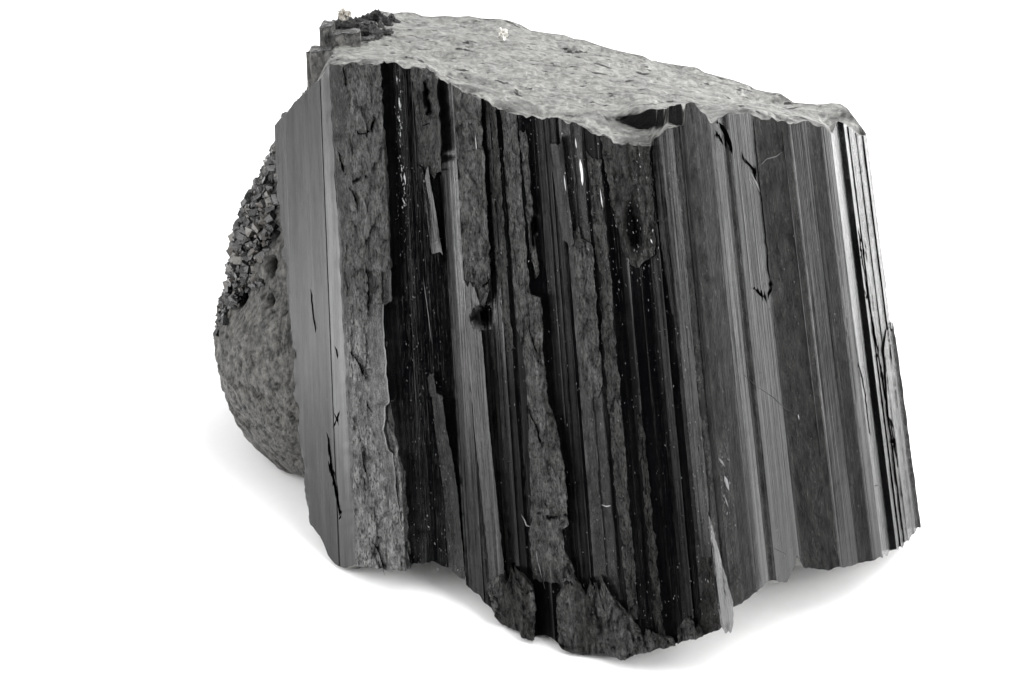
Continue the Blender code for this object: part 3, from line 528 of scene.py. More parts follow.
def top_surface(x, y):
    """The upper fracture with its front rim, its front shelf and its fine relief."""
    behind = np.maximum(0.0, y - top_front(x))
    gap = np.interp(x, RIM_X, RIM_GAP)
    broad = top_height(x, y)
    height = broad + gap * np.exp(-behind / TOP_RIM_DEPTH)
    height -= SHOULDER_DROP * unit((-31.0 - x) / 2.5) * unit((behind - 0.4) / 2.0)
    wall, edge = wall_line(x)
    inside = unit((x - SHELF_SIDES[0]) / 1.2) * unit((SHELF_SIDES[1] - x) / 0.1)
    past = y - wall
    ahead = unit(0.5 - past / 0.3)
    shelf = np.interp(x, RIM_X, RIM_S) + SHELF_SLOPE * behind
    upper = broad + (edge - top_height(x, wall)) * np.exp(-np.maximum(0.0, past) / 5.0)
    height += inside * (ahead * shelf + (1.0 - ahead) * upper - height)
    flakes = layers(stack(x * 0.35 + y * 0.2, y * 0.9 - x * 0.2, 0.0), 4, 31)
    steps = layers(stack(x * 0.2 + y * 0.1, y * 0.36 - x * 0.1, 9.0), 3, 41)
    jag = 0.25 * layers(stack(x * 1.3, 3.0, 0.0 * x), 4, 47) * np.exp(-behind / 1.5)
    calm = 1.0 - 0.6 * inside * unit(1.0 - np.abs(past) / 4.0)
    return height + jag + calm * (0.12 * flakes + 0.32 * np.round(steps * 2.4) / 2.4)


def top_shade_and_fibres(x, y):
    """How dark the upper fracture is painted: shade painted on the sides of its small steps that drop
    towards the front and on the step behind the shelf, and dark fibres, thicker near the front rim.
    """
    rise = (top_surface(x, y + 0.3) - top_surface(x, y - 0.3)) / 0.6
    side = (top_surface(x + 0.2, y) - top_surface(x - 0.2, y)) / 0.4
    by_wall = (np.abs(y - wall_line(x)[0]) < 1.2) & (x > 3.0) & (x < 12.6)
    rise = np.where(by_wall, np.hypot(rise, side), rise)
    behind = np.maximum(0.0, y - top_front(x))
    fibres = np.clip(5.0 * layers(stack(x * 0.3 + y * 0.12, y * 1.1 - x * 0.12, 2.0), 4, 53) - 0.9, 0.0, 0.9)
    return np.maximum(unit((rise - 0.45) / 0.6), fibres * (0.25 + 0.75 * np.exp(-behind / 3.0)))


def base_surface(x, y):
    """The lower fracture above the ground, with its fine relief."""
    rough = layers(stack(x * 0.6, y * 0.6, 2.0), 4, 57)
    height = base_height(x, y)
    return height + 0.5 * np.abs(rough) * np.minimum(1.0, height)


def top_of(x, y):
    """S where a base-plane place meets the upper fracture."""
    top = np.full(len(x), TOP_LEVEL)
    for _ in range(4):
        k = 1.0 - top / TAPER_POINT
        top = top_surface(x * k, y * k)
    return top


def foot_of(x, y, taper=True):
    """S where a base-plane place meets the lower fracture."""
    foot = np.zeros(len(x))
    for _ in range(6):
        k = 1.0 - foot / TAPER_POINT if taper else 1.0
        at = stand(stack(x * k, y * k, foot))
        foot -= (at[:, 2] - base_surface(at[:, 0], at[:, 1])) / LEAN[2, 2]
    return foot


def tapered(x, y, s):
    """Places drawn in towards the point where the striations meet."""
    k = 1.0 - s / TAPER_POINT
    return stack(x * k, y * k, s)


def bulge_place(degrees, s, reach):
    """X and Y of a place on the bulge, by its angle from -X towards the front."""
    turn = np.radians(degrees)
    x = BULGE_AXIS[0] - reach * np.cos(turn)
    y = BULGE_AXIS[1] - reach * BULGE_DEPTH * np.sin(turn)
    return x, y


# ---- meshes -----------------------------------------------------------------------------------------

def new_mesh(name, points, faces, materials, face_material=None, values=None, sharp=14.0):
    """A mesh object in metres from standing millimetres, with its attributes."""
    mesh = bpy.data.meshes.new(name)
    mesh.from_pydata((np.asarray(points) * MM).tolist(), [], [list(f) for f in faces])
    mesh.validate()
    for material in materials:
        mesh.materials.append(material)
    if face_material is not None:
        mesh.polygons.foreach_set("material_index", np.asarray(face_material, np.int32))
    for key, value in (values or {}).items():
        value = np.asarray(value, np.float32)
        kind = "FLOAT_VECTOR" if value.ndim == 2 else "FLOAT"
        attribute = mesh.attributes.new(key, kind, "POINT")
        attribute.data.foreach_set("vector" if value.ndim == 2 else "value", value.ravel())
    mesh.polygons.foreach_set("use_smooth", np.ones(len(mesh.polygons), bool))
    mesh.set_sharp_from_angle(angle=math.radians(sharp))
    mesh.update()
    obj = bpy.data.objects.new(name, mesh)
    bpy.context.scene.collection.objects.link(obj)
    return obj


def prism_columns():
    """Columns round the prism: (x, y, outward x, outward y, finish)."""
    columns = []
    for (x0, y0), (x1, y1), (across, facing, finish) in zip(FRONT, FRONT[1:], STRIPS):
        step = FINISHES[finish][3]
        count = max(1, round(math.hypot(x1 - x0, y1 - y0) / step))
        for i in range(count):
            share = i / count
            columns.append((x0 + (x1 - x0) * share, y0 + (y1 - y0) * share, 0.0, -1.0, finish))
    rng = random.Random(BACK_SEED)
    corners = [FRONT[-1]] + BACK_CORNERS + [LEFT_EDGE]
    for i, (strips, relief) in enumerate(BACK_STRIPS):
        points = [corners[i]] + striated(corners[i], corners[i + 1], strips, relief, rng) + [corners[i + 1]]
        for (x0, y0), (x1, y1) in zip(points, points[1:]):
            length = math.hypot(x1 - x0, y1 - y0)
            count = max(1, round(length / FINISHES["back"][3]))
            for k in range(count):
                share = k / count
                columns.append((x0 + (x1 - x0) * share, y0 + (y1 - y0) * share,
                                (y1 - y0) / length, -(x1 - x0) / length, "back"))
    return columns


def wander(x, s, is_front):
    """Shift the front's borders sideways, keeping each place on the front."""
    moved = np.array(x)
    for border, left, right, shifts in WANDERS:
        shift = profile(s, shifts) + 0.12 * layers(stack(s * 0.7, border, 0.0), 4, 61)
        fade = unit(np.where(x < border, 1.0 - (border - x) / left, 1.0 - (x - border) / right))
        moved = moved + shift * fade
    return np.where(is_front, moved, x)


def flakes(a, b, seed):
    """Tilted flakes, one to each unit cell: height, and how near each place is to a gap, 0 to 1."""
    a = a + 0.3 * grit(stack(a * 1.7, b * 1.7, seed), seed + 5)
    b = b + 0.3 * grit(stack(a * 1.7, b * 1.7, seed + 0.5), seed + 6)
    i = np.floor(a).astype(np.int64)
    j = np.floor(b).astype(np.int64)
    nearest = np.full(len(a), 9.0)
    second = np.full(len(a), 9.0)
    height = np.zeros(len(a))
    for di in (-1, 0, 1):
        for dj in (-1, 0, 1):
            ci, cj = i + di, j + dj
            pa = a - ci - 0.5 - 0.45 * lattice(ci, cj, 0, seed)
            pb = b - cj - 0.5 - 0.45 * lattice(ci, cj, 1, seed)
            away = np.hypot(pa, pb)
            level = 0.5 * lattice(ci, cj, 2, seed)
            level = level + lattice(ci, cj, 3, seed) * pa + lattice(ci, cj, 4, seed) * pb
            closer = away < nearest
            second = np.where(closer, nearest, np.minimum(second, away))
            height = np.where(closer, level, height)
            nearest = np.where(closer, away, nearest)
    return height, unit(1.0 - (second - nearest) / 0.2)


def relief(run, s, rough, lines):
    """Fine relief of a face, run mm along its outline: its height, and the gaps in it, 0 to 1.
    The gaps are painted dark as shade.
    """
    big, big_gap = flakes(run / 1.9, s / 4.4, 3)
    small, small_gap = flakes(run / 0.7, s / 1.5, 17)
    opened = unit(1.5 * layers(stack(run * 0.45, s * 0.2, 5.0), 3, 19) + 0.35)
    closed = unit(1.5 * layers(stack(run * 1.1, s * 0.5, 8.0), 3, 29) + 0.2)
    line = layers(stack(run * 1.9, 0.0, s * 0.04), 3, 13)
    gap = np.maximum(0.9 * big_gap * opened, 0.7 * small_gap * closed)
    height = rough * (big + 0.45 * small - 0.7 * gap) + lines * line
    return height, gap * unit(rough / 0.2)


def shine_share(x, s):
    """Share of its shine that a place on the front keeps."""
    share = np.ones(len(x))
    for left, right, low, high, kept in WORN_PLACES:
        across = unit(np.minimum(x - left, right - x) / 0.1 + 0.5)
        along = unit(np.minimum(s - low, high - s) / 6.0 + 0.5)
        share *= 1.0 + (kept - 1.0) * across * along
    return share


def breaks(x, s):
    """Depth of the cracks and scoops at a place, and how far it lies inside one, 0 to 1."""
    depth = np.zeros(len(x))
    inside = np.zeros(len(x))
    jag = 0.22 * layers(stack(x * 1.3, s * 1.3, 0.0), 3, 95)
    for width, deep, places in CRACKS:
        for (x0, s0), (x1, s1) in zip(places, places[1:]):
            dx, ds = x1 - x0, s1 - s0
            t = unit(((x - x0) * dx + (s - s0) * ds) / (dx * dx + ds * ds))
            away = np.hypot(x + jag - x0 - t * dx, s + jag - s0 - t * ds)
            hole = unit(1.5 - away / width)
            depth = np.maximum(depth, deep * hole)
            inside = np.maximum(inside, hole)
    for cx, cs, half_x, half_s, deep in SCOOPS:
        away = np.hypot((x - cx) / half_x, (s - cs) / half_s) + 0.12 * layers(stack(x, s * 0.6, cx), 3, 91)
        hole = unit((1.1 - away) / 0.5)
        depth = depth + deep * hole
        inside = np.maximum(inside, 0.9 * hole)
    return depth, inside


def surface_depth(x, s):
    """Y of the foremost face at a place on the front, plates included."""
    lift = 0.0
    for finish, rows in PLATE_TABLES:
        if rows[0, 0] < s < rows[-1, 0]:
            left, right, lift_left, lift_right = [profile(s, rows, c) for c in (1, 2, 3, 4)]
            if left < x < right:
                lift = max(lift, lift_left + (lift_right - lift_left) * (x - left) / (right - left))
    return front_depth(x) - lift


def sliver(places, half, shade, rng, made):
    """One thin closed ribbon along places on the front, pointed at both ends, added to the lists in made."""
    points, faces, shades = made
    centres = [np.array((x, surface_depth(x, s), s)) for x, s in places]
    count = len(centres) - 2
    # A black sliver of painted crack shade stands further proud of the face.
    proud = max(0.06, 0.3 * half) + (0.14 if shade < IS_CRACK else 0.0)
    out = np.array((0.0, proud, 0.0))
    own = [centres[0]]
    for i in range(1, count + 1):
        x, _, s = centres[i]
        across = np.cross(centres[i + 1] - centres[i - 1], (0.0, 1.0, 0.0))
        width = half * math.sqrt(math.sin(math.pi * i / (count + 1))) * rng.uniform(0.7, 1.2)
        across *= width / np.linalg.norm(across)
        slope = (surface_depth(x + 0.05, s) - surface_depth(x - 0.05, s)) / 0.1
        across[1] = np.clip(slope, -2.5, 2.5) * across[0]
        own += [centres[i] - across, centres[i] - out, centres[i] + across, centres[i] + out]
    own.append(centres[-1])
    last = 4 * count - 3
    sides = []
    for j in range(4):
        k = (j + 1) % 4
        sides += [(0, 1 + j, 1 + k), (last + j, last + 4, last + k)]
        for low in range(1, last, 4):
            sides += [(low + j, low + 4 + j, low + 4 + k), (low + j, low + 4 + k, low + k)]
    corners = np.array(own)[np.array(sides)]
    inwards = np.sum(corners[:, 0] * np.cross(corners[:, 1], corners[:, 2])) < 0.0
    start = len(points)
    faces += [tuple(start + v for v in (side[::-1] if inwards else side)) for side in sides]
    points += own
    shades += [shade] * len(own)


def slivers():
    """Cracks painted black as shade, scratches, and chips and sparkles painted pale as glints of light,
    lying on the smooth faces.
    """
    rng = np.random.default_rng(SLIVER_SEED)
    made = [], [], []
    for half, shade, places in SLIVERS:
        fine = [places[0]]
        for (x0, s0), (x1, s1) in zip(places, places[1:]):
            count = max(2, round(math.hypot(x1 - x0, s1 - s0) / 0.7))
            for i in range(1, count + 1):
                jog = rng.normal(0.0, 0.04, 2) if i < count and shade < 0.1 else (0.0, 0.0)
                fine.append((x0 + (x1 - x0) * i / count + jog[0], s0 + (s1 - s0) * i / count + jog[1]))
        sliver(fine, half, shade, rng, made)
        for _ in range(len(fine) if shade < IS_CRACK and half > FINE_CRACK else 0):
            x, s = fine[rng.integers(len(fine))]
            x, tall = x + rng.normal(0.0, 1.2 * half), rng.uniform(0.2, 0.9)
            lean_x = rng.normal(0.0, 0.2) * tall
            splinter = [(x - lean_x, s - tall), (x + rng.normal(0.0, 0.03), s), (x + lean_x, s + tall)]
            sliver(splinter, half * rng.uniform(0.3, 0.8), shade, rng, made)
    for count, left, right, low, high, half, brightest in SPARKLES:
        for _ in range(count):
            x, s = rng.uniform(left, right), rng.uniform(low, high)
            size = half * rng.uniform(0.5, 1.0)
            tall = size * rng.uniform(1.0, 5.0)
            lean_x = tall * rng.normal(0.0, 0.2)
            speck = [(x - lean_x, s - tall), (x, s), (x + lean_x, s + tall)]
            sliver(speck, size, brightest * rng.uniform(0.2, 1.0), rng, made)
    points, faces, shades = made
    points = np.array(points)
    return new_mesh("front_slivers", stand(tapered(*points.T)), faces, [PAINTED_LIGHT], None,
                    {"grown": points, "shade": shades})


def box_faces(across, along, start=0):
    """Faces of a closed slab made of a front grid and a back grid."""
    faces = []
    row = across + 1
    back = row * (along + 1)

    def rim(a, step, flip):
        face = (a, a + step, back + a + step, back + a)
        faces.append(face[::-1] if flip else face)

    for j in range(along):
        for i in range(across):
            a = start + j * row + i
            faces.append((a, a + 1, a + row + 1, a + row))
            faces.append((back + a, back + a + row, back + a + row + 1, back + a + 1))
    for j in range(along):
        rim(start + j * row, row, False)
        rim(start + j * row + across, row, True)
    for i in range(across):
        rim(start + i, 1, True)
        rim(start + along * row + i, 1, False)
    return faces


def joined(forms):
    """Points and faces of several closed forms, as one."""
    faces = []
    total = 0
    for points, own in forms:
        faces += [tuple(v + total for v in face) for face in own]
        total += len(points)
    return np.concatenate([points for points, own in forms]), faces


def named(look):
    """Columns of a table of looks as named attributes; dark is the share of painted shade."""
    return {key: look[:, i] for i, key in enumerate(("dark", "shine", "dull", "lined"))}


def plates():
    """Every plate as a closed slab with a rough or lined front and ragged ends."""
    points, faces, grown_at, looks = [], [], [], []
    total = 0
    for number, (finish, rows) in enumerate(PLATE_TABLES):
        dull, rough, lines, step, shine, contrast = FINISHES[finish]
        bottom, end = rows[0, 0], rows[-1, 0]
        along = round((end - bottom) / PLATE_ROW)
        across = max(5, round(1.25 * (rows[:, 2] - rows[:, 1]).max() / step))
        t = np.linspace(0.0, 1.0, along + 1)[:, None]
        a = np.linspace(0.0, 1.0, across + 1)[None, :]
        s = bottom + (end - bottom) * t + 0.0 * a
        left, right, lift_left, lift_right = [profile(s, rows, c) for c in (1, 2, 3, 4)]
        x = (left + (right - left) * a).ravel()
        edge = (((a == 0.0) | (a == 1.0)) + 0.0 * t).ravel()
        x = x + (0.16 if dull > 0.5 else 0.05) * edge * layers(stack(s.ravel() * 1.1, x, number), 4, 71)
        base = front_depth(x)
        if bottom < TO_THE_FOOT:
            low = foot_of(x[:across + 1], base[:across + 1])
        else:
            low = bottom + 0.5 * layers(stack(x[:across + 1] * 1.2, number, 0.0), 3, 73)
        if end > TO_THE_TOP:
            high = top_of(x[-across - 1:], base[-across - 1:]) - 0.02
        else:
            high = end + 0.9 * layers(stack(x[:across + 1] * 1.2, number, 5.0), 3, 74)
        s = (low + (high - low) * t).ravel()
        lift = (lift_left + (lift_right - lift_left) * a).ravel()
        depth, inside = breaks(x, s)
        height, gap = relief(np.interp(x, FRONT_X, FRONT_RUN) + 0.3 * number, s, rough, lines)
        front = stack(x, base - lift + depth - height, s)
        back = stack(x, base + PLATE_ROOT, s)
        grown_at += [front, back]
        points += [tapered(*front.T), tapered(*back.T)]
        # Painted shade: gaps between flakes and the insides of cracks and scoops are painted dark.
        look = stack(np.maximum(inside, 0.55 * gap), shine * shine_share(x, s), dull, contrast)
        looks += [look, look]
        faces += box_faces(across, along, total)
        total += 2 * len(x)
    placed = above_floor(stand(np.concatenate(points)), 0.3)
    values = {"grown": np.concatenate(grown_at), **named(np.concatenate(looks))}
    return new_mesh("front_plates", placed, faces, [FACE], None, values)


def crust_share(degrees, s):
    """How far a place on the bulge is covered by the granular crust, 0 to 1."""
    ragged = layers(stack(degrees * 0.06, s * 0.22, 0.0), 3, 83)
    limit = 37.5 + 7.0 * unit((degrees + 10.0) / 60.0) + 2.5 * ragged
    side = unit((CRUST_ANGLES[1] + 6.0 * ragged - degrees) / 5.0)
    return unit((s - limit + 2.0) / 3.0) * side


def bulge():
    """The rough flank: a turned profile with broken relief, and pits where the crust is.
    Its gaps and pits are painted dark as shade.
    """
    seen = np.arange(-75.0, 95.0, 0.9)
    inside_prism = np.arange(95.0, 285.0, 9.0)
    degrees = np.concatenate([seen, inside_prism])
    heights = np.linspace(11.15, 70.6, 175)
    a, s = [v.ravel() for v in np.meshgrid(degrees, heights)]
    reach = profile(s, BULGE_PROFILE)
    x, y = bulge_place(a, s, reach)
    crusted = crust_share(a, s)
    around = np.radians(a) * np.maximum(reach, 6.0)
    big, big_gap = flakes((around + 0.35 * s) / 1.5, s / 3.4, 31)
    small, small_gap = flakes((around + 0.3 * s) / 0.75, s / 1.3, 37)
    opened = unit(1.5 * layers(stack(around * 0.4, s * 0.3, 5.0), 3, 39) + 0.3)
    # Painted shade: the gaps between flakes, and below the pits, are painted dark.
    dark = (1.0 - crusted) * np.maximum(0.7 * big_gap * opened, 0.6 * small_gap * (1.0 - opened))
    push = 0.5 * layers(stack(x * 0.4 + s * 0.1, y * 0.4, s * 0.25), 4, 87)
    push += 0.28 * big + 0.16 * small - 0.3 * dark
    pits = layers(stack(x * 0.75, y * 0.75, s * 0.7), 4, 89)
    push -= crusted * 1.3 * unit(np.abs(pits) * 1.3 - 0.1)
    for degree, height, radius in CRUST_PITS:
        px, py = bulge_place(degree, height, profile(height, BULGE_PROFILE))
        away = np.sqrt((x - px) ** 2 + (y - py) ** 2 + ((s - height) / 1.3) ** 2) / radius
        hole = np.clip(1.25 - away + 0.3 * pits, 0.0, 0.6) / 0.6
        push -= 1.5 * radius * hole
        dark = np.maximum(dark, 0.95 * hole)
    push *= unit(reach / 4.0)
    x, y = bulge_place(a, s, reach + push)
    count = len(degrees)
    rows = len(heights)
    faces = []
    for j in range(rows - 1):
        for i in range(count):
            k = (i + 1) % count
            faces.append((j * count + i, j * count + k, (j + 1) * count + k, (j + 1) * count + i))
    faces.append(tuple(range(count))[::-1])
    faces.append(tuple(range((rows - 1) * count, rows * count)))
    values = {"grown": stack(x, y, s), "crust": crusted, "dark": dark}
    return new_mesh("flank_bulge", above_floor(stand(tapered(x, y, s)), 0.8), faces, [FLANK], None, values)


CUBE = np.array([(x, y, z) for z in (-1, 1) for x, y in ((-1, -1), (1, -1), (1, 1), (-1, 1))])
CUBE_FACES = [(0, 3, 2, 1), (4, 5, 6, 7), (0, 1, 5, 4), (1, 2, 6, 5), (2, 3, 7, 6), (3, 0, 4, 7)]


def turned(rng):
    """A random rotation."""
    q = rng.normal(size=4)
    w, x, y, z = q / np.linalg.norm(q)
    return np.array([
        (1 - 2 * (y * y + z * z), 2 * (x * y - z * w), 2 * (x * z + y * w)),
        (2 * (x * y + z * w), 1 - 2 * (x * x + z * z), 2 * (y * z - x * w)),
        (2 * (x * z - y * w), 2 * (y * z + x * w), 1 - 2 * (x * x + y * y)),
    ])


def crust():
    """Small blocky grains fused over the upper bulge."""
    rng = np.random.default_rng(CRUST_SEED)
    grains, shades = [], []
    while len(grains) < CRUST_GRAINS:
        degrees = rng.uniform(*CRUST_ANGLES)
        height = rng.uniform(*CRUST_HEIGHTS)
        if crust_share(np.array([degrees]), np.array([height]))[0] < rng.uniform(0.3, 0.9):
            continue
        size = 0.2 + 0.42 * rng.random() ** 2.5
        reach = profile(height, BULGE_PROFILE) - rng.uniform(-0.1, 0.9)
        x, y = bulge_place(degrees, height, reach)
        shape = CUBE * (1.0 + 0.18 * rng.normal(size=(8, 3))) * rng.uniform(0.6, 1.3, 3) * size
        grains.append((shape @ turned(rng).T + tapered(x, y, height), CUBE_FACES))
        shades += [rng.random()] * 8
    points, faces = joined(grains)
    return new_mesh("crust_grains", stand(points), faces, [CRUST], None, {"grown": points, "shade": shades})


def rough_block(middle, size, turn, seed):
    """Points and faces of a closed block with broken sides, from a subdivided cube."""
    cells = [max(2, round(v / 0.5)) for v in size]
    index, points, faces = {}, [], []

    def vertex(i, j, k):
        key = (i, j, k)
        if key not in index:
            index[key] = len(points)
            points.append((i / cells[0] - 0.5, j / cells[1] - 0.5, k / cells[2] - 0.5))
        return index[key]

    for axis in range(3):
        u, v = [n for n in range(3) if n != axis]
        for side in (0, cells[axis]):
            for i in range(cells[u]):
                for j in range(cells[v]):
                    corners = []
                    for di, dj in ((0, 0), (1, 0), (1, 1), (0, 1)):
                        at = [0, 0, 0]
                        at[axis], at[u], at[v] = side, i + di, j + dj
                        corners.append(vertex(*at))
                    outward = (side > 0) == (axis != 1)
                    faces.append(tuple(corners) if outward else tuple(corners[::-1]))
    points = np.array(points) * np.array(size)
    angle = math.radians(turn)
    cos, sin = math.cos(angle), math.sin(angle)
    spin = np.array([(cos, -sin, 0), (sin, cos, 0), (0, 0, 1)])
    points = points @ spin.T + np.array(middle)
    for axis in range(3):
        scale = (0.8, 0.8, 0.25) if axis < 2 else (0.8, 0.8, 0.8)
        points[:, axis] += 0.22 * layers(points * np.array(scale), 4, seed + 10 * axis)
    return points, faces


def ball(detail):
    """Vertices and faces of a unit icosphere."""
    bm = bmesh.new()
    bmesh.ops.create_icosphere(bm, subdivisions=detail, radius=1.0)
    points = np.array([v.co for v in bm.verts])
    faces = [tuple(v.index for v in f.verts) for f in bm.faces]
    bm.free()
    return points, faces


def stub():
    """The small intergrown crystal at the upper left, with its dark lumps."""
    forms, lumpy = [], []
    for number, (x, y, width, depth, turn, top) in enumerate(STUB_BLOCKS):
        middle = (x, y, (STUB_LOW + top) / 2)
        points, faces = rough_block(middle, (width, depth, top - STUB_LOW), turn, 101 + number)
        forms.append((tapered(*points.T), faces))
        lumpy.append(unit((points[:, 2] - top + 0.5) / 0.3) + (0.6 if number in DARKER_BLOCKS else 0.0))
    sphere, faces = ball(4)
    for number, (x, y, s, radius) in enumerate(STUB_LUMPS):
        push = 0.92 + 0.5 * layers(sphere * 1.5 + number * 7.0, 5, 121, 0.65)
        forms.append((sphere * push[:, None] * radius + tapered(x, y, s), faces))
        lumpy.append(np.ones(len(sphere)))
    points, faces = joined(forms)
    seams = layers(points * np.array((0.7, 0.7, 0.4)), 3, 127)
    dark = np.clip(6.0 * (0.1 - np.abs(seams)), 0.0, 0.9)
    values = {"grown": points, "crust": unit(np.concatenate(lumpy)), "dark": dark}
    return new_mesh("stub_crystal", stand(points), faces, [FLANK], None, values)


def prism():
    """The striated prism with its two fractures, as one closed mesh."""
    columns = prism_columns()
    count = len(columns)

    def everywhere(values):
        return np.broadcast_to(values, (ROWS, count)).ravel()

    bx, by, out_x, out_y = np.array([c[:4] for c in columns]).T
    is_front = everywhere([c[4] != "back" for c in columns])
    dull, rough, lines, step, shine, contrast = [
        everywhere(values) for values in np.array([FINISHES[c[4]] for c in columns]).T]
    top = top_of(bx, by)
    foot = foot_of(bx, by)
    s = (foot + (top - foot) * np.linspace(0.0, 1.0, ROWS)[:, None]).ravel()
    x = wander(everywhere(bx), s, is_front)
    run = np.concatenate([[0.0], np.cumsum(np.hypot(np.diff(bx), np.diff(by)))])
    push, gap = relief(everywhere(run), s, rough, lines)
    depth, inside = breaks(x, s)
    push -= np.where(is_front, depth, 0.0)
    # Painted shade: gaps between flakes and the insides of cracks and scoops are painted dark.
    gap = np.where(is_front, np.maximum(gap, inside), gap)
    look = stack(gap, shine * shine_share(x, s), dull, contrast)
    x = x + everywhere(out_x) * push
    y = everywhere(by) + everywhere(out_y) * push
    edge = profile(s, LEFT_BREAK) + 0.35 * layers(stack(s * 0.5, 0.0, 0.0), 3, 77)
    x = np.where(x < LEFT_BREAK_REACH, np.maximum(x, edge), x)
    body = tapered(x, y, s)

    faces = []
    for a in range(0, (ROWS - 1) * count, count):
        for i in range(count):
            j = (i + 1) % count
            faces.append((a + i, a + j, a + count + j, a + count + i))
    material = [0] * len(faces)

    points = [body]
    grown_at = [stack(x, y, s)]
    looks = [look]
    total = len(body)
    for is_top in (True, False):
        start = (ROWS - 1) * count if is_top else 0
        ring = body[start:start + count]
        inner = cap_points(ring, is_top)
        height = top_surface(*inner.T) if is_top else foot_of(*inner.T, taper=False)
        # The upper cap carries painted shade on its step sides, with dark fibres; the lower cap none.
        dark = top_shade_and_fibres(*inner.T) if is_top else 0.0
        index = np.concatenate([np.arange(start, start + count), total + np.arange(len(inner))])
        triangles = [tuple(index[face]) for face in fill(ring[:, :2], inner)]
        faces += triangles if is_top else [face[::-1] for face in triangles]
        material += [1] * len(triangles)
        placed = stack(inner[:, 0], inner[:, 1], height)
        points.append(placed)
        grown_at.append(placed)
        looks.append(stack(dark + 0.0 * height, 0.5, 1.0, 0.0))
        total += len(inner)
    values = {"grown": np.concatenate(grown_at), **named(np.concatenate(looks))}
    return new_mesh("crystal_prism", stand(np.concatenate(points)), faces, [FACE, FRACTURE], material, values)


def cap_points(ring, is_top):
    """Jittered places inside a ring, in rows and columns."""
    low = ring[:, :2].min(0)
    high = ring[:, :2].max(0)
    cell = TOP_CELL if is_top else BASE_CELL
    gx = np.arange(low[0], high[0], cell[0])
    gy = np.arange(low[1], high[1], cell[1])
    px, py = [a.ravel() for a in np.meshgrid(gx, gy)]
    at = stack(px * 7.1, py * 7.1, 0.5)
    px = px + 0.35 * cell[0] * grit(at, 5)
    py = py + 0.35 * cell[1] * grit(at, 6)
    if is_top:
        wall = wall_line(px)[0]
        clear = (np.abs(py - wall) > 0.5) | (px < SHELF_WALL[0][0]) | (px > SHELF_WALL[-1][0])
        wx = np.arange(SHELF_WALL[0][0], SHELF_WALL[-1][0], 0.2)
        wy = wall_line(wx)[0]
        px = np.concatenate([px[clear], wx, wx + 0.1])
        py = np.concatenate([py[clear], wy - 0.2, wy + 0.2])
    ax, ay = ring[:, 0], ring[:, 1]
    bx, by = np.roll(ax, -1), np.roll(ay, -1)
    keep = np.ones(len(px), bool)
    inside = np.zeros(len(px), bool)
    for x0, y0, x1, y1 in zip(ax, ay, bx, by):
        crosses = (y0 > py) != (y1 > py)
        at_x = x0 + (py - y0) * (x1 - x0) / (y1 - y0 if y1 != y0 else 1e-9)
        inside ^= crosses & (px < at_x)
        dx, dy = x1 - x0, y1 - y0
        t = np.clip(((px - x0) * dx + (py - y0) * dy) / max(1e-9, dx * dx + dy * dy), 0, 1)
        keep &= np.hypot(px - x0 - t * dx, py - y0 - t * dy) > 0.3 * cell[0]
    keep &= inside
    return stack(px[keep], py[keep])


def fill(ring, inner):
    """Triangles that join a ring and the places inside it."""
    vertices = [Vector(p) for p in ring.tolist() + inner.tolist()]
    result = delaunay_2d_cdt(vertices, [], [list(range(len(ring)))], 1, 1e-7)
    origin = result[3]
    return [[origin[v][0] for v in face] for face in result[2]]


# ---- materials --------------------------------------------------------------------------------------

def grey(level):
    return level, level, level, 1.0


class Wiring:
    """The node tree of a material or world, with short names for the nodes it uses."""

    def __init__(self, owner, end):
        owner.use_nodes = True
        self.owner = owner
        self.tree = owner.node_tree
        self.end = self.tree.nodes[end]

    def feed(self, socket, value):
        """Join another node's output to a socket, or set the socket's own value."""
        if isinstance(value, bpy.types.NodeSocket):
            self.tree.links.new(value, socket)
        else:
            socket.default_value = value

    def set(self, name, value):
        """Feed a socket of the last node."""
        self.feed(self.end.inputs[name], value)

    def node(self, kind, inputs, output=0, **settings):
        """A node with its settings and inputs: the output it is used for."""
        made = self.tree.nodes.new("ShaderNode" + kind)
        for key, value in settings.items():
            setattr(made, key, value)
        for key, value in inputs.items():
            self.feed(made.inputs[key], value)
        return made.outputs[output]

    def attribute(self, name, output="Fac"):
        return self.node("Attribute", {}, output, attribute_name=name)

    def noise(self, at, scale, detail, roughness):
        """Noise over a stretched copy of a vector."""
        stretched = self.node("Mapping", {"Vector": at, "Scale": scale})
        sockets = {"Vector": stretched, "Scale": 1.0, "Detail": detail, "Roughness": roughness}
        return self.node("TexNoise", sockets, "Fac")

    def ramp(self, value, low, high, to_low=0.0, to_high=1.0):
        """A value's place between low and high, brought to another range."""
        sockets = {"Value": value, "From Min": low, "From Max": high, "To Min": to_low, "To Max": to_high}
        return self.node("MapRange", sockets)

    def maths(self, operation, a, b):
        return self.node("Math", {0: a, 1: b}, operation=operation)

    def times(self, a, b):
        return self.maths("MULTIPLY", a, b)

    def plus(self, a, b):
        return self.maths("ADD", a, b)

    def less(self, a, b):
        return self.maths("SUBTRACT", a, b)

    def mix(self, share, a, b):
        """A colour between two colours."""
        return self.node("Mix", {0: share, 6: a, 7: b}, 2, data_type="RGBA")

    def blend(self, share, a, b):
        """A number between two numbers."""
        return self.node("Mix", {0: share, 2: a, 3: b}, 0, data_type="FLOAT")

    def bump(self, height, distance):
        self.set("Normal", self.node("Bump", {"Height": height, "Distance": distance, "Strength": 1.0}))


def material(name):
    return Wiring(bpy.data.materials.new(name), "Principled BSDF")


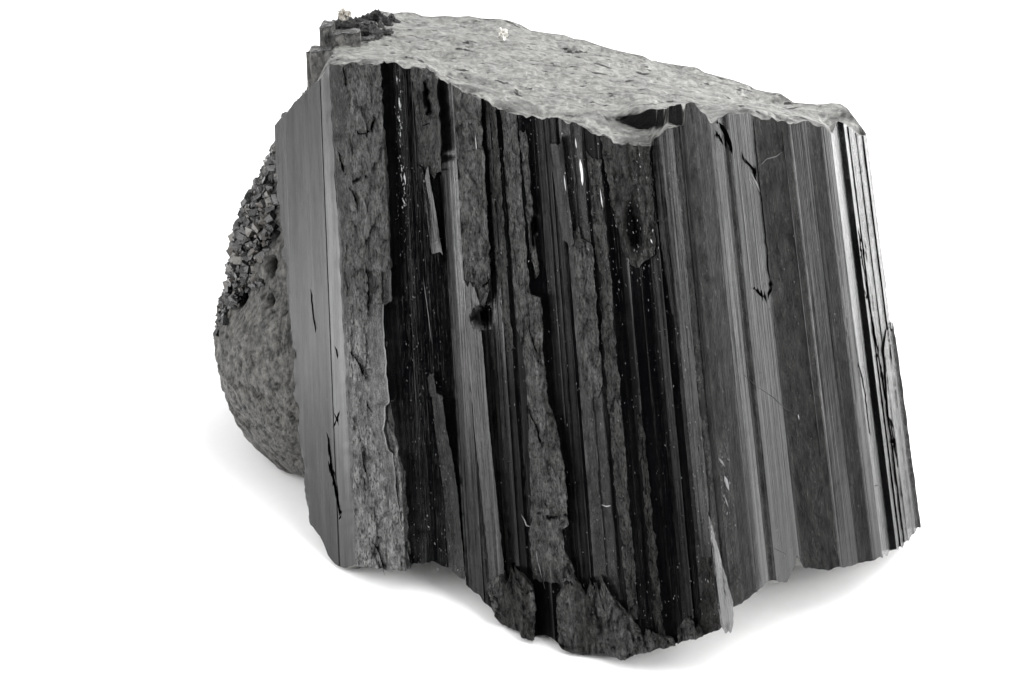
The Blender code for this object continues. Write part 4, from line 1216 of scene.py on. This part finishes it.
def face_material():
    """Striated prism faces: glossy black where smooth, grey where finely broken.
    Painted near black as shade where dark is set, with pale painted sparkle.
    """
    m = material("tourmaline_face")
    at = m.attribute("grown", "Vector")
    dull, dark, shine, contrast = [m.attribute(key) for key in ("dull", "dark", "shine", "lined")]
    fine = m.noise(at, (2.3, 2.3, 0.03), 5.0, 0.65)
    hair = m.noise(at, (7.0, 7.0, 0.08), 3.0, 0.6)
    broken = m.noise(at, (1.1, 1.1, 0.45), 8.0, 0.7)
    specks = m.noise(at, (4.5, 4.5, 1.8), 5.0, 0.75)
    cloud = m.noise(at, (0.8, 0.8, 0.1), 5.0, 0.6)
    # Painted sparkle: tiny pale specks on the broken faces, standing in for glints of light.
    painted_sparkle = m.ramp(m.noise(at, (5.5, 5.5, 4.5), 4.0, 0.7), 0.66, 0.74)
    painted_sparkle_share = m.times(painted_sparkle, m.ramp(broken, 0.48, 0.6, 0.0, 0.8))

    broken_colour = m.mix(m.ramp(broken, 0.35, 0.68), grey(0.002), (0.03, 0.029, 0.027, 1))
    smooth_colour = m.mix(fine, (0.0006, 0.0006, 0.0008, 1), (0.002, 0.002, 0.0024, 1))
    # Painted shade: where dark is set the colour goes near black, and below the shine goes out.
    colour = m.mix(dark, m.mix(dull, smooth_colour, broken_colour), grey(0.0006))
    m.set("Base Color", m.mix(painted_sparkle_share, colour, (0.16, 0.155, 0.15, 1)))

    lines = m.plus(m.ramp(fine, 0.36, 0.64, 0.1, 1.0), m.ramp(hair, 0.35, 0.65, -0.1, 0.35))
    flecks = m.times(m.ramp(specks, 0.36, 0.62, 0.1, 1.6), m.ramp(broken, 0.32, 0.62, 0.3, 1.3))
    level = m.blend(dull, m.blend(contrast, 1.0, lines), flecks)
    level = m.times(level, m.ramp(cloud, 0.35, 0.65, 0.84, 1.14))
    m.set("Specular IOR Level", m.times(m.times(level, m.less(1.0, dark)), shine))
    gloss = m.plus(m.ramp(fine, 0.3, 0.7, 0.05, 0.12), m.ramp(cloud, 0.35, 0.65, 0.0, 0.12))
    m.set("Roughness", m.blend(dull, gloss, m.ramp(specks, 0.35, 0.65, 0.2, 0.42)))
    m.set("IOR", SCHORL_IOR)

    lined = m.times(m.plus(fine, m.times(hair, 0.3)), m.ramp(contrast, 0.0, 1.0, 0.5, 2.5))
    rough = m.plus(m.times(broken, 8.0), m.times(specks, 4.0))
    m.bump(m.blend(dull, lined, rough), 0.00005)
    return m.owner


def fracture_material():
    """The pale, finely stepped fractures, painted near black as shade on the sides of their steps."""
    m = material("tourmaline_fracture")
    at = m.attribute("grown", "Vector")
    dark = m.attribute("dark")
    streaks = m.noise(at, (0.25, 0.3, 0.4), 6.0, 0.7)
    dashes = m.noise(at, (0.5, 1.1, 0.3), 4.0, 0.5)
    fine = m.noise(at, (1.3, 1.4, 1.4), 6.0, 0.75)
    colour = m.mix(m.ramp(streaks, 0.35, 0.65), (0.035, 0.035, 0.032, 1), (0.14, 0.14, 0.131, 1))
    colour = m.mix(m.ramp(fine, 0.4, 0.68, 0.0, 0.85), colour, (0.34, 0.34, 0.324, 1))
    colour = m.mix(m.ramp(dashes, 0.62, 0.65, 0.0, 0.9), colour, (0.006, 0.006, 0.005, 1))
    # Painted shade: steep step sides, and the dark fibres, go near black and lose shine.
    m.set("Base Color", m.mix(dark, colour, grey(0.001)))
    level = m.less(0.5, m.times(dark, 0.42))
    m.set("Specular IOR Level", m.times(level, m.ramp(dashes, 0.62, 0.65, 1.0, 0.25)))
    m.set("Roughness", m.ramp(fine, 0.3, 0.7, 0.38, 0.62))
    m.set("IOR", SCHORL_IOR)
    m.bump(m.plus(streaks, m.times(fine, 0.4)), 0.00045)
    return m.owner


def flank_material():
    """The dull broken flank, darker and glossier where the crust lies, and painted near black
    where dark is set: shade in the bulge's gaps and pits, and the stub's dark seams.
    """
    m = material("tourmaline_flank")
    at = m.attribute("grown", "Vector")
    crusted, dark = m.attribute("crust"), m.attribute("dark")
    broken = m.noise(at, (1.1, 1.1, 0.6), 8.0, 0.72)
    specks = m.noise(at, (4.0, 4.0, 2.6), 5.0, 0.75)
    bare = m.mix(m.ramp(broken, 0.4, 0.62), (0.016, 0.016, 0.015, 1), (0.15, 0.145, 0.134, 1))
    covered = m.mix(m.ramp(specks, 0.52, 0.7), grey(0.002), (0.04, 0.036, 0.03, 1))
    # Painted shade: where dark is set the colour goes near black and the shine goes out.
    m.set("Base Color", m.mix(dark, m.mix(crusted, bare, covered), grey(0.001)))
    flecks = m.times(m.ramp(specks, 0.36, 0.62, 0.1, 0.85), m.less(1.0, dark))
    m.set("Specular IOR Level", flecks)
    m.set("Roughness", m.blend(crusted, m.ramp(specks, 0.3, 0.7, 0.34, 0.55), 0.2))
    m.set("IOR", SCHORL_IOR)
    m.bump(m.plus(broken, m.times(specks, 0.6)), 0.0006)
    return m.owner


def crust_material():
    """Black glossy grains, some of them grey or brown."""
    m = material("tourmaline_crust")
    fine = m.noise(m.attribute("grown", "Vector"), (3.0, 3.0, 3.0), 5.0, 0.7)
    pale = m.mix(fine, (0.03, 0.026, 0.022, 1), (0.12, 0.11, 0.1, 1))
    m.set("Base Color", m.mix(m.ramp(m.attribute("shade"), 0.72, 0.78), grey(0.004), pale))
    m.set("Roughness", m.ramp(fine, 0.3, 0.7, 0.08, 0.3))
    m.set("IOR", SCHORL_IOR)
    m.bump(fine, 0.00008)
    return m.owner


def painted_light_material():
    """Slivers: from black painted crack shade to pale painted glints of light."""
    m = material("tourmaline_painted_light")
    shade = m.attribute("shade")
    fine = m.noise(m.attribute("grown", "Vector"), (6.0, 6.0, 3.0), 3.0, 0.6)
    pale = m.mix(fine, (0.55, 0.55, 0.56, 1), (0.95, 0.95, 0.97, 1))
    # Painted light: shade 0 paints a crack's shade black, and shade 1 paints a glint near white.
    m.set("Base Color", m.mix(shade, grey(0.0004), pale))
    m.set("Specular IOR Level", m.times(shade, 0.5))
    m.set("Roughness", m.ramp(fine, 0.3, 0.7, 0.3, 0.6))
    m.bump(fine, 0.00003)
    return m.owner


def grain_material(name, dark, light):
    """A matt foreign grain."""
    m = material(name)
    mottle = m.noise(m.node("TexCoord", {}, "Object"), (1500.0, 1500.0, 1500.0), 6.0, 0.7)
    m.set("Base Color", m.mix(m.ramp(mottle, 0.3, 0.7), dark, light))
    m.set("Roughness", m.ramp(mottle, 0.3, 0.7, 0.5, 0.75))
    m.bump(mottle, 0.00015)
    return m.owner


FACE = face_material()
FRACTURE = fracture_material()
FLANK = flank_material()
CRUST = crust_material()
PAINTED_LIGHT = painted_light_material()
WHITE_GRAIN = grain_material("white_mineral", (0.55, 0.54, 0.5, 1), (0.85, 0.84, 0.8, 1))
BROWN_GRAIN = grain_material("brown_mineral", (0.07, 0.06, 0.05, 1), (0.55, 0.52, 0.47, 1))


# ---- foreign grains and stage -----------------------------------------------------------------------

def foreign_grain(cad_node, seed, made):
    """A rough grain inside the place of its CAD node."""
    low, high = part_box(cad_node)
    centre = np.array((low + high) / 2) / MM
    half = np.array((high - low) / 2) / MM
    points, faces = ball(5)
    push = np.minimum(0.72 + 0.75 * layers(points * 1.9, 5, seed, 0.6), 1.12)
    placed = centre + points * push[:, None] * half
    return new_mesh(cad_node + "_look", placed, faces, [made], None, None, 25.0)


def floor():
    """A plain pale floor that the crystal rests on."""
    m = material("paper_floor")
    grain = m.noise(m.node("TexCoord", {}, "Object"), (900.0, 900.0, 900.0), 3.0, 0.55)
    m.set("Base Color", m.mix(grain, grey(0.9), grey(0.94)))
    m.set("Roughness", 0.9)
    signs = ((-1, -1), (1, -1), (1, 1), (-1, 1))
    points = [(x * FLOOR_HALF, y * FLOOR_HALF, 0.0) for x, y in signs]
    new_mesh("studio_floor", points, [(0, 1, 2, 3)], [m.owner])


def area_light(name, place, target, size, radiance):
    """A soft panel of a set brightness, aimed at a place; lengths in millimetres."""
    light = bpy.data.lights.new(name, "AREA")
    light.shape = "RECTANGLE"
    light.size = size[0] * MM
    light.size_y = size[1] * MM
    light.energy = radiance * math.pi * light.size * light.size_y
    obj = bpy.data.objects.new(name, light)
    obj.location = Vector(place) * MM
    aim = (Vector(target) - Vector(place)).normalized()
    obj.rotation_euler = aim.to_track_quat("-Z", "Y").to_euler()
    bpy.context.scene.collection.objects.link(obj)


def studio():
    """Soft panels, and surroundings that are bright behind and above, and dark in front."""
    for panel in PANELS:
        area_light(*panel)
    world = bpy.data.worlds.new("studio")
    bpy.context.scene.world = world
    w = Wiring(world, "Background")
    parts = w.node("SeparateXYZ", {"Vector": w.node("TexCoord", {}, "Generated")}).node
    light = w.maths("MAXIMUM", w.ramp(parts.outputs["Y"], -0.55, 0.1), w.ramp(parts.outputs["Z"], 0.45, 0.85))
    w.set("Color", w.mix(light, (0.012, 0.012, 0.013, 1), grey(1.1)))


def camera():
    """The camera, looking along +Y from above."""
    data = bpy.data.cameras.new("camera")
    data.sensor_width = 36.0
    data.lens = CAMERA_LENS
    data.clip_start = 0.01
    obj = bpy.data.objects.new("camera", data)
    bpy.context.scene.collection.objects.link(obj)
    rise = math.radians(CAMERA_RISE)
    away = Vector((0.0, -math.cos(rise), math.sin(rise)))
    obj.location = (Vector(CAMERA_TARGET) + CAMERA_AWAY * away) * MM
    obj.rotation_euler = (-away).to_track_quat("-Z", "Y").to_euler()
    bpy.context.scene.camera = obj


for piece in (prism(), plates(), slivers(), bulge(), crust(), stub()):
    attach(piece, "root")
    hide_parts("tourmaline_crystal")
for cad_node, slot, piece in (
    ("white_grain", "white_grain", foreign_grain("white_grain", 131, WHITE_GRAIN)),
    ("stub_grain", "brown_grain", foreign_grain("stub_grain", 137, BROWN_GRAIN)),
):
    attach(piece, "root")
    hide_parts(cad_node)
floor()
studio()
camera()
bpy.context.scene.view_settings.view_transform = "Standard"
